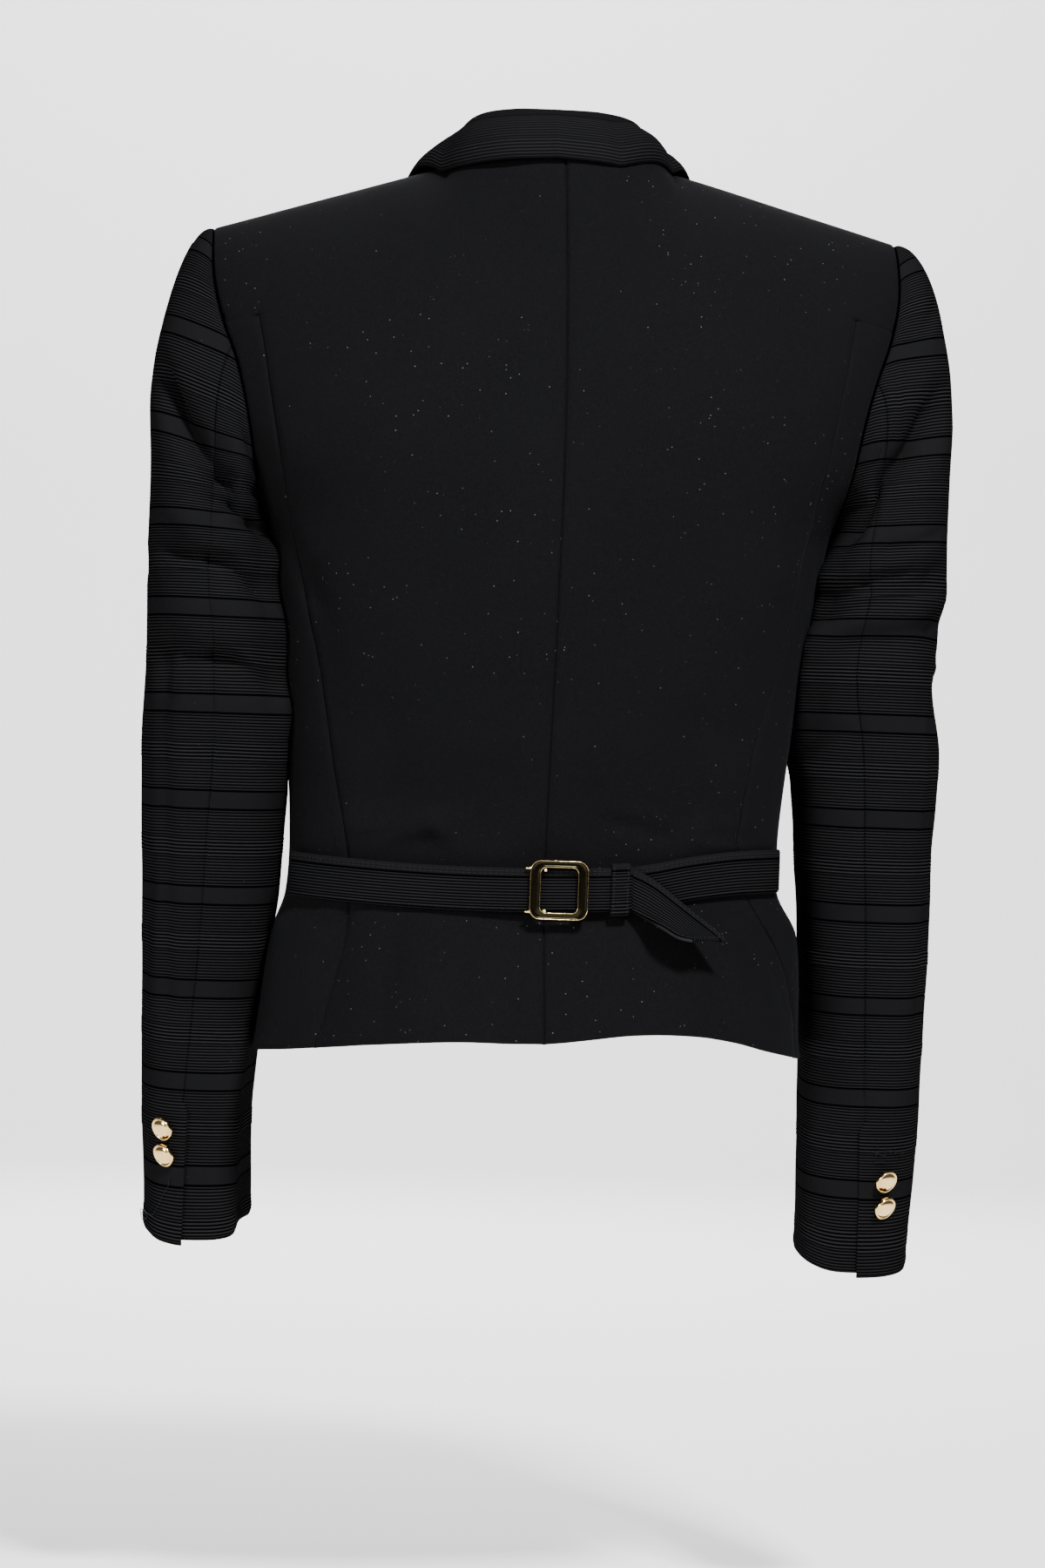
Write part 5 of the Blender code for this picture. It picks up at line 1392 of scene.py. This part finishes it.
def button_set(gold):
    """Two buttons at each cuff and two down the front."""
    for side in ("left", "right"):
        for i, (turn, height) in enumerate(CUFF_BUTTONS[side]):
            spots = [arm_point(side, np.array(turn + d), np.array(height + e))
                     for d, e in ((0, 0), (0.01, 0), (0, 0.01))]
            axis = unit(np.cross(spots[1] - spots[0], spots[2] - spots[0]))
            lean = axis + BUTTON_LEAN[i] * np.array([1.0, 0.0, -1.0])
            centre = spots[0] + axis * (CUFF_BUTTON_LIFT + BUTTON_SHANK)
            node = "cuff_button_%s_%d" % (side, i + 1)
            lathe(node + "_gold", handed(side, centre), handed(side, lean), BUTTON,
                  CUFF_BUTTON_RADIUS, gold, node)
    for i, height in enumerate(FRONT_BUTTONS):
        heights = height + FRONT_BUTTON_RADIUS * np.array([-1.0, 0.0, 1.0])
        depth = front_depth("right", 0 * heights, heights)
        axis = unit(np.array([0.0, -2 * FRONT_BUTTON_RADIUS, depth[0] - depth[2]]))
        centre = np.array([0.0, -depth[1], height]) + FRONT_BUTTON_LIFT * axis
        node = "front_button_%d" % (i + 1)
        lathe(node + "_gold", centre, axis, BUTTON, FRONT_BUTTON_RADIUS, gold, node)


# Buckle profile: blend from the outer outline (0) to the inner (1), and depth
BUCKLE_PROFILE = ((0.02, 0.0), (0.0, 0.0005), (0.0, 0.0024), (0.05, 0.0031), (0.14, 0.0034),
                  (0.24, 0.0030), (0.34, 0.0029), (0.70, 0.0030), (0.80, 0.0032),
                  (0.90, 0.0036), (0.97, 0.0034), (1.0, 0.0027), (1.0, 0.0004), (0.97, 0.0))
BUCKLE_CORNER, BUCKLE_INNER_CORNER = 0.0060, 0.0035
BUCKLE_OPENING = (0.0120, 0.0075)    # less than its size, across and up
BUCKLE_LIFT = 0.0004
GOLD_EDGE = 0.00018                  # radius of the bright bevels
BEVELS = (("outer", 0.02, 0.0030), ("inner", 0.965, 0.0033))    # blend, depth
STUD = ((0.0, 0.0), (1.0, 0.0), (0.95, 0.5), (0.6, 0.9), (0.0, 1.0))
STUD_RADIUS, PIN_RADIUS = 0.0012, 0.00085
STUD_AT, PIN_FROM, PIN_TO = -0.0088, -0.0070, 0.0028    # past the buckle's side edge
PIN_HEIGHTS = (BUCKLE_SIZE / 2 - 0.0046, -BUCKLE_SIZE / 2 + 0.0040)
STUD_OUT, PIN_OUT = 0.0024, 0.0012


def buckle_metal(gunmetal, gold):
    """Frame with bright bevels, and a pin with its stud at each corner of one side."""
    angle = belt_angle(BUCKLE_AT)
    grid, out = belt_grid(angle + np.array([-0.02, 0.0, 0.02]), OVER_LIFT + BUCKLE_LIFT)
    centre, out = grid[2, 1], out[1]
    across, up = np.array([out[1], -out[0], 0.0]), np.array([0.0, 0.0, 1.0])
    outer = rounded_square(BUCKLE_SIZE, BUCKLE_SIZE, BUCKLE_CORNER, 10)
    inner = rounded_square(BUCKLE_SIZE - BUCKLE_OPENING[0], BUCKLE_SIZE - BUCKLE_OPENING[1],
                           BUCKLE_INNER_CORNER, 10)

    def ring(share, depth):
        outline = outer + (inner - outer) * share
        return centre + across * outline[:, :1] + up * outline[:, 1:] + out * depth

    rings = [ring(share, depth) for share, depth in BUCKLE_PROFILE]
    faces = ring_faces(len(rings), len(outer), closed=True)
    frame_metal = mesh_object("buckle_metal", np.concatenate(rings), faces, gunmetal)
    dressed(frame_metal, "buckle_frame")
    for name, share, depth in BEVELS:
        tube("buckle_edge_" + name, ring(share, depth), GOLD_EDGE, gold, sides=10,
             closed=True)
    half = BUCKLE_SIZE / 2
    for i, height in enumerate(PIN_HEIGHTS):
        ends = np.linspace(half + PIN_FROM, half + PIN_TO, 12)
        line = centre + across * ends[:, None] + up * height + out * PIN_OUT
        tube("buckle_pin_%d" % (i + 1), line, PIN_RADIUS, gold, sides=12, taper=0.8)
        place = centre + across * (half + STUD_AT) + up * (height * 0.93) + out * STUD_OUT
        lathe("buckle_stud_%d" % (i + 1), place, out, STUD, STUD_RADIUS, gold, sides=20)


def on_sleeve(side, grid, facing, spots, lift):
    """Points above a finished sleeve, at spots of (across, height, further lift)."""
    placed = []
    for x, z, extra in spots:
        gap = (np.abs(grid[..., 0]) - x) ** 2 + (grid[..., 2] - z) ** 2
        gap = np.where(facing[..., 1] > 0.05, gap, 1.0)
        r, c = np.unravel_index(np.argmin(gap), gap.shape)
        placed.append(grid[r, c] + facing[r, c] * (lift + extra))
    return refined(handed(side, np.array(placed))[:, None, :], 10)[:, 0]


# Loose basting thread of the left cuff: distance across, height, lift off the cloth
BASTING = ((0.2057, -0.5993, 0.0), (0.2090, -0.6050, 0.0006), (0.2120, -0.6110, 0.0008),
           (0.2150, -0.6172, 0.0004), (0.2178, -0.6236, 0.0004), (0.2205, -0.6290, 0.0006),
           (0.2255, -0.6275, 0.0012), (0.2240, -0.6325, 0.0016), (0.2212, -0.6300, 0.0020),
           (0.2235, -0.6265, 0.0012), (0.2262, -0.6310, 0.0006))
SNAGS, SNAG_POINTS = 9, 5    # pulled threads above the right cuff's buttons,
SNAG_ACROSS, SNAG_HEIGHT = (0.213, 0.229), (-0.586, -0.577)    # their places,
SNAG_STEP, SNAG_LIFT = (0.003, 0.002), 0.0012                  # and how far they wander
LOOSE_THREAD, SNAG_THREAD = 0.00020, 0.00016                   # radii


def threads(sleeves, thread):
    """The loose thread at one cuff and the snags at the other."""
    line = on_sleeve("left", *sleeves["left"], BASTING, 0.0005)
    tube("cuff_thread_left", line, LOOSE_THREAD, thread, sides=6)
    rng = np.random.default_rng(41)
    for i in range(SNAGS):
        x, z = rng.uniform(*SNAG_ACROSS), rng.uniform(*SNAG_HEIGHT)
        spots = []
        for _ in range(SNAG_POINTS):
            spots.append((x, z, rng.uniform(0.0, SNAG_LIFT)))
            x, z = (at + rng.uniform(-step, step) for at, step in zip((x, z), SNAG_STEP))
        line = on_sleeve("right", *sleeves["right"], spots, 0.0003)
        tube("cuff_snag_right_%d" % (i + 1), line, SNAG_THREAD, thread, sides=5)


# ---------------------------------------------------------------- materials


class Nodes:
    """Short names for the shader nodes that the materials are built from."""

    def __init__(self, name):
        self.material = bpy.data.materials.new(name)
        self.material.use_nodes = True
        self.tree = self.material.node_tree
        self.shader = self.tree.nodes["Principled BSDF"]
        self.where = self.add("ShaderNodeTexCoord").outputs["Object"]

    def finish(self, **values):
        """Put a number, colour or socket on each of the shader's inputs named here."""
        for name, value in values.items():
            self.put(self.shader.inputs[name.replace("_", " ")], value)
        return self.material

    def add(self, kind, **settings):
        node = self.tree.nodes.new(kind)
        for key, value in settings.items():
            setattr(node, key, value)
        return node

    def link(self, source, target):
        self.tree.links.new(source, target)

    def put(self, target, value):
        if isinstance(value, bpy.types.NodeSocket):
            self.link(value, target)
        else:
            target.default_value = value

    def math(self, operation, *values):
        node = self.add("ShaderNodeMath", operation=operation)
        for socket, value in zip(node.inputs, values):
            self.put(socket, value)
        return node.outputs[0]

    def ramp(self, value, low, high, to_low=0.0, to_high=1.0):
        """Smooth step from to_low to to_high as value goes from low to high."""
        node = self.add("ShaderNodeMapRange", interpolation_type="SMOOTHSTEP")
        for index, item in enumerate((value, low, high, to_low, to_high)):
            self.put(node.inputs[index], item)
        return node.outputs[0]

    def mix(self, share, first, second):
        node = self.add("ShaderNodeMix", data_type="RGBA")
        self.put(node.inputs[0], share)
        self.put(node.inputs[6], first)
        self.put(node.inputs[7], second)
        return node.outputs[2]

    def noise(self, scale, detail=2.0):
        node = self.add("ShaderNodeTexNoise")
        self.link(self.where, node.inputs["Vector"])
        node.inputs["Scale"].default_value = scale
        node.inputs["Detail"].default_value = detail
        return node.outputs["Fac"]

    def specks(self, scale, size, share):
        """1 on sparse round specks: share of the cells that hold one, size in cells."""
        node = self.add("ShaderNodeTexVoronoi")
        self.link(self.where, node.inputs["Vector"])
        node.inputs["Scale"].default_value = scale
        near = self.ramp(node.outputs["Distance"], size * 0.5, size, 1.0, 0.0)
        pick = self.add("ShaderNodeSeparateColor")
        self.link(node.outputs["Color"], pick.inputs[0])
        return self.math("MULTIPLY", near, self.math("LESS_THAN", pick.outputs[0], share))

    def bump(self, height, distance, strength=1.0, before=None):
        node = self.add("ShaderNodeBump")
        node.inputs["Strength"].default_value = strength
        node.inputs["Distance"].default_value = distance
        self.link(height, node.inputs["Height"])
        if before:
            self.link(before, node.inputs["Normal"])
        return node.outputs["Normal"]


def rgb(*values):
    """Colour of a socket from red, green and blue, or from one grey."""
    return (*(values * 3)[:3], 1.0)


def crepe_looks():
    """Matt black crepe with a fine grain and pale lint."""
    n = Nodes("wool_crepe")
    grain = n.noise(2600, 2.0)
    base = n.mix(n.noise(14, 3.0), rgb(0.0022, 0.0022, 0.0025), rgb(0.0034, 0.0034, 0.0038))
    base = n.mix(n.ramp(grain, 0.35, 0.75), base, rgb(0.0064, 0.0064, 0.0070))
    patch = n.ramp(n.noise(9, 1.0), 0.38, 0.60)
    lint = n.math("MULTIPLY", n.specks(400, 0.16, 0.10), patch)
    dust = n.specks(190, 0.075, 0.10)
    base = n.mix(n.math("MULTIPLY", n.math("MAXIMUM", lint, dust), 0.60), base,
                 rgb(0.16, 0.16, 0.17))
    return n.finish(Base_Color=base, Roughness=0.90, Specular_IOR_Level=0.012,
                    Sheen_Weight=0.010, Sheen_Roughness=0.5,
                    Sheen_Tint=rgb(0.55, 0.56, 0.62), Normal=n.bump(grain, 0.00018, 0.6))


def ribbed_looks(name, depth, light):
    """Ribbed cloth with ribs of this depth, which also sets the painted shade in its grooves;
    light is the ribs' grey.
    """
    n = Nodes(name)

    def shade(grey, blue):
        return rgb(grey * light, grey * light, blue * light)

    split = n.add("ShaderNodeSeparateXYZ")
    n.link(n.add("ShaderNodeUVMap", uv_map="cloth").outputs[0], split.inputs[0])
    turn = n.math("FRACT", n.math("ADD", n.math("DIVIDE", split.outputs[1], RIB_REPEAT), 100.5))
    q = n.math("MULTIPLY", n.math("ABSOLUTE", n.math("SUBTRACT", turn, 0.5)), RIB_REPEAT)
    fine = n.math("MULTIPLY", n.ramp(q, FINE_FROM - 0.0006, FINE_FROM),
                  n.ramp(q, FINE_TO - 0.0004, FINE_TO, 1.0, 0.0))
    wave = n.math("COSINE", n.math("MULTIPLY", n.math("SUBTRACT", q, FINE_FROM),
                                   2 * math.pi / FINE_PITCH))
    ribs = n.math("MULTIPLY", n.math("MULTIPLY_ADD", wave, 0.5, 0.5), fine)
    heavy = 0.0
    for line in HEAVY_LINES:
        off = n.math("ABSOLUTE", n.math("SUBTRACT", q, line))
        heavy = n.math("MAXIMUM", heavy, n.ramp(off, 0.0, HEAVY_WIDTH * 1.5, 1.0, 0.0))
    # Painted shade: a dark line in the groove where the fine ribs meet the plain band, beside the
    # groove cut in the bump
    border = n.ramp(n.math("ABSOLUTE", n.math("SUBTRACT", q, FINE_TO + 0.0007)), 0.0, 0.0007,
                    1.0, 0.0)
    plain = n.ramp(q, FINE_TO + 0.0008, FINE_TO + 0.0016)
    # Painted shade: wherever the cloth is not raised, the colour below is darkened towards near
    # black, as deep as depth says
    raised = n.math("MAXIMUM", n.math("MAXIMUM", ribs, heavy), plain)
    raised = n.math("MULTIPLY", raised,
                    n.math("SUBTRACT", 1.0, n.math("MULTIPLY", border, 0.7)))
    base = n.mix(n.noise(22, 3.0), shade(0.85, 0.92), shade(1.20, 1.30))
    base = n.mix(raised, n.mix(depth, shade(0.85, 0.92), shade(0.04, 0.04)), base)
    # Painted highlight: the raised heavy lines are made lighter, as where they catch the light
    base = n.mix(n.math("MULTIPLY", heavy, 0.5), base, shade(1.60, 1.74))
    base = n.mix(n.math("MULTIPLY", plain, 0.8), base, shade(0.42, 0.46))
    pill = n.math("MULTIPLY", n.specks(300, 0.10, 0.020), 0.4)
    base = n.mix(pill, base, rgb(0.12, 0.12, 0.13))
    relief = n.math("MAXIMUM", n.math("MULTIPLY", ribs, 0.8), heavy)
    relief = n.math("SUBTRACT", relief, n.math("MULTIPLY", border, 0.8))
    weave = n.bump(n.noise(1900, 1.0), 0.00010, 0.35)
    return n.finish(Base_Color=base, Roughness=n.mix(plain, rgb(0.42), rgb(0.62)),
                    Specular_IOR_Level=0.0, Normal=n.bump(relief, 0.00060 * depth, 1.0, weave))


def thread_looks():
    """Black twisted sewing thread."""
    n = Nodes("black_thread")
    ply = n.noise(3200, 1.0)
    base = n.mix(ply, rgb(0.0040, 0.0040, 0.0045), rgb(0.0110, 0.0110, 0.0120))
    return n.finish(Base_Color=base, Roughness=0.55, Specular_IOR_Level=0.06,
                    Normal=n.bump(ply, 0.0001, 0.5))


def metal_looks(name, low, high, roughness, wear_scale):
    """Cast metal between two shades, its roughness a little uneven."""
    n = Nodes(name)
    haze = n.mix(n.noise(wear_scale * 6, 2.0), rgb(roughness * 0.7), rgb(roughness * 1.4))
    return n.finish(Base_Color=n.mix(n.noise(wear_scale, 3.0), low, high), Metallic=1.0,
                    Roughness=haze, Normal=n.bump(n.noise(700, 1.0), 0.00004, 0.3))


def paper_looks():
    """Pale matt paper of the floor and the backdrop."""
    n = Nodes("pale_paper")
    low, high = rgb(0.891, 0.891, 0.88605), rgb(0.90, 0.90, 0.895)
    return n.finish(Base_Color=n.mix(n.noise(0.8, 2.0), low, high), Roughness=0.9)


# ---------------------------------------------------------------- stage

FLOOR = -0.86
FLOOR_AHEAD, FLOOR_HALF = 7.0, 5.0
SWEEP_BACK, SWEEP_RADIUS, SWEEP_TOP, SWEEP_STEPS = 3.7, 1.0, 4.0, 16
SKY = 0.14
# Lamps: name, place, what they shine at, size and watts
LIGHTS = (
    ("key", (-0.7, 2.2, 2.1), (0.0, 0.0, -0.3), (0.5, 0.5), 265),
    ("fill", (2.2, 2.3, 0.4), (0.0, 0.0, -0.3), (1.0, 1.0), 66),
    ("ground", (0.0, -1.5, 2.2), (0.0, -2.1, -0.86), (2.2, 1.4), 105),
    ("backdrop", (0.0, -3.0, 2.2), (0.0, -4.7, 0.0), (2.4, 1.0), 120),
    ("front", (0.0, -2.6, 0.9), (0.0, 0.0, -0.3), (1.8, 1.8), 60),
)
CAMERA_DISTANCE, CAMERA_AZIMUTH, CAMERA_HEIGHT = 3.0, 175.0, -0.363
CAMERA_ROLL, FOCAL_PIXELS = 2.0, 5745.0
PICTURE_HEIGHT, SENSOR = 1800.0, 36.0
PRINCIPAL = (615.7 - 600.0, 899.8 - 900.0)    # the fitted view's centre, in pixels


def stage_floor():
    """Pale floor that sweeps up behind the garment."""
    far = math.radians(CAMERA_AZIMUTH)
    toward = np.array([math.sin(far), -math.cos(far), 0.0])
    aside = np.array([toward[1], -toward[0], 0.0])
    line = [(FLOOR_AHEAD, 0.0), (-SWEEP_BACK, 0.0)]
    for k in range(1, SWEEP_STEPS + 1):
        angle = math.pi / 2 * k / SWEEP_STEPS
        line.append((-SWEEP_BACK - SWEEP_RADIUS * math.sin(angle),
                     SWEEP_RADIUS * (1 - math.cos(angle))))
    line.append((-SWEEP_BACK - SWEEP_RADIUS, SWEEP_TOP))
    points = np.array([toward * out + aside * across + np.array([0, 0, FLOOR + height])
                       for out, height in line for across in (-FLOOR_HALF, FLOOR_HALF)])
    faces = np.array([(2 * k, 2 * k + 1, 2 * k + 3, 2 * k + 2) for k in range(len(line) - 1)])
    mesh_object("floor", points, faces, paper_looks(), points[:, :2])


def area_light(name, place, target, size, power):
    """Rectangular lamp that shines from a place at a target."""
    light = bpy.data.lights.new(name, "AREA")
    light.shape = "RECTANGLE"
    light.size, light.size_y = size
    light.energy = power
    obj = bpy.data.objects.new(name, light)
    obj.location = place
    obj.rotation_euler = (Vector(target) - Vector(place)).to_track_quat("-Z", "Y").to_euler()
    bpy.context.scene.collection.objects.link(obj)


def lights():
    """A dim even sky and the studio's lamps."""
    world = bpy.data.worlds.new("studio")
    bpy.context.scene.world = world
    world.use_nodes = True
    sky = world.node_tree.nodes["Background"]
    sky.inputs[0].default_value = rgb(0.90, 0.92, 0.95)
    sky.inputs[1].default_value = SKY
    for row in LIGHTS:
        area_light(*row)


def camera():
    """The photo's viewing angle, from behind and a little to one side."""
    angle = math.radians(CAMERA_AZIMUTH)
    toward = Vector((math.sin(angle), -math.cos(angle), 0.0))
    data = bpy.data.cameras.new("camera")
    data.sensor_fit = "AUTO"
    data.sensor_width = SENSOR
    data.lens = FOCAL_PIXELS * SENSOR / PICTURE_HEIGHT
    data.shift_x = -PRINCIPAL[0] / PICTURE_HEIGHT
    data.shift_y = PRINCIPAL[1] / PICTURE_HEIGHT
    obj = bpy.data.objects.new("camera", data)
    obj.location = toward * CAMERA_DISTANCE + Vector((0, 0, CAMERA_HEIGHT))
    turn = (-toward).to_track_quat("-Z", "Y")
    roll = Quaternion((0.0, 0.0, 1.0), math.radians(CAMERA_ROLL))
    obj.rotation_mode = "QUATERNION"
    obj.rotation_quaternion = turn @ roll
    bpy.context.scene.collection.objects.link(obj)
    bpy.context.scene.camera = obj


# ---------------------------------------------------------------- last update of the scene


def write_sizes():
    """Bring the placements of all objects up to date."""
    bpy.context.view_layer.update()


def main():
    """Clear the scene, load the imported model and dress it."""
    for obj in list(bpy.data.objects):
        bpy.data.objects.remove(obj, do_unlink=True)
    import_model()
    crepe, thread = crepe_looks(), thread_looks()
    ribbed = ribbed_looks("ribbed_ottoman", 1.0, 0.0112)
    collar_ribs = ribbed_looks("ribbed_collar", 0.60, 0.0084)
    gunmetal = metal_looks("olive_gunmetal", rgb(0.012, 0.011, 0.006), rgb(0.026, 0.022, 0.012),
                           0.22, 60)
    gold = metal_looks("polished_gold", rgb(0.78, 0.52, 0.20), rgb(0.90, 0.64, 0.30), 0.13, 80)
    sleeves = {}
    for side in ("left", "right"):
        body_side(side, crepe)
        sleeves[side] = sleeve(side, ribbed)
        lapel_cloth(side, collar_ribs)
    collar_cloth(collar_ribs)
    belt_cloth(ribbed, thread)
    keeper_cloth(ribbed, thread)
    buckle_metal(gunmetal, gold)
    button_set(gold)
    threads(sleeves, thread)
    stage_floor()
    lights()
    camera()
    write_sizes()


main()
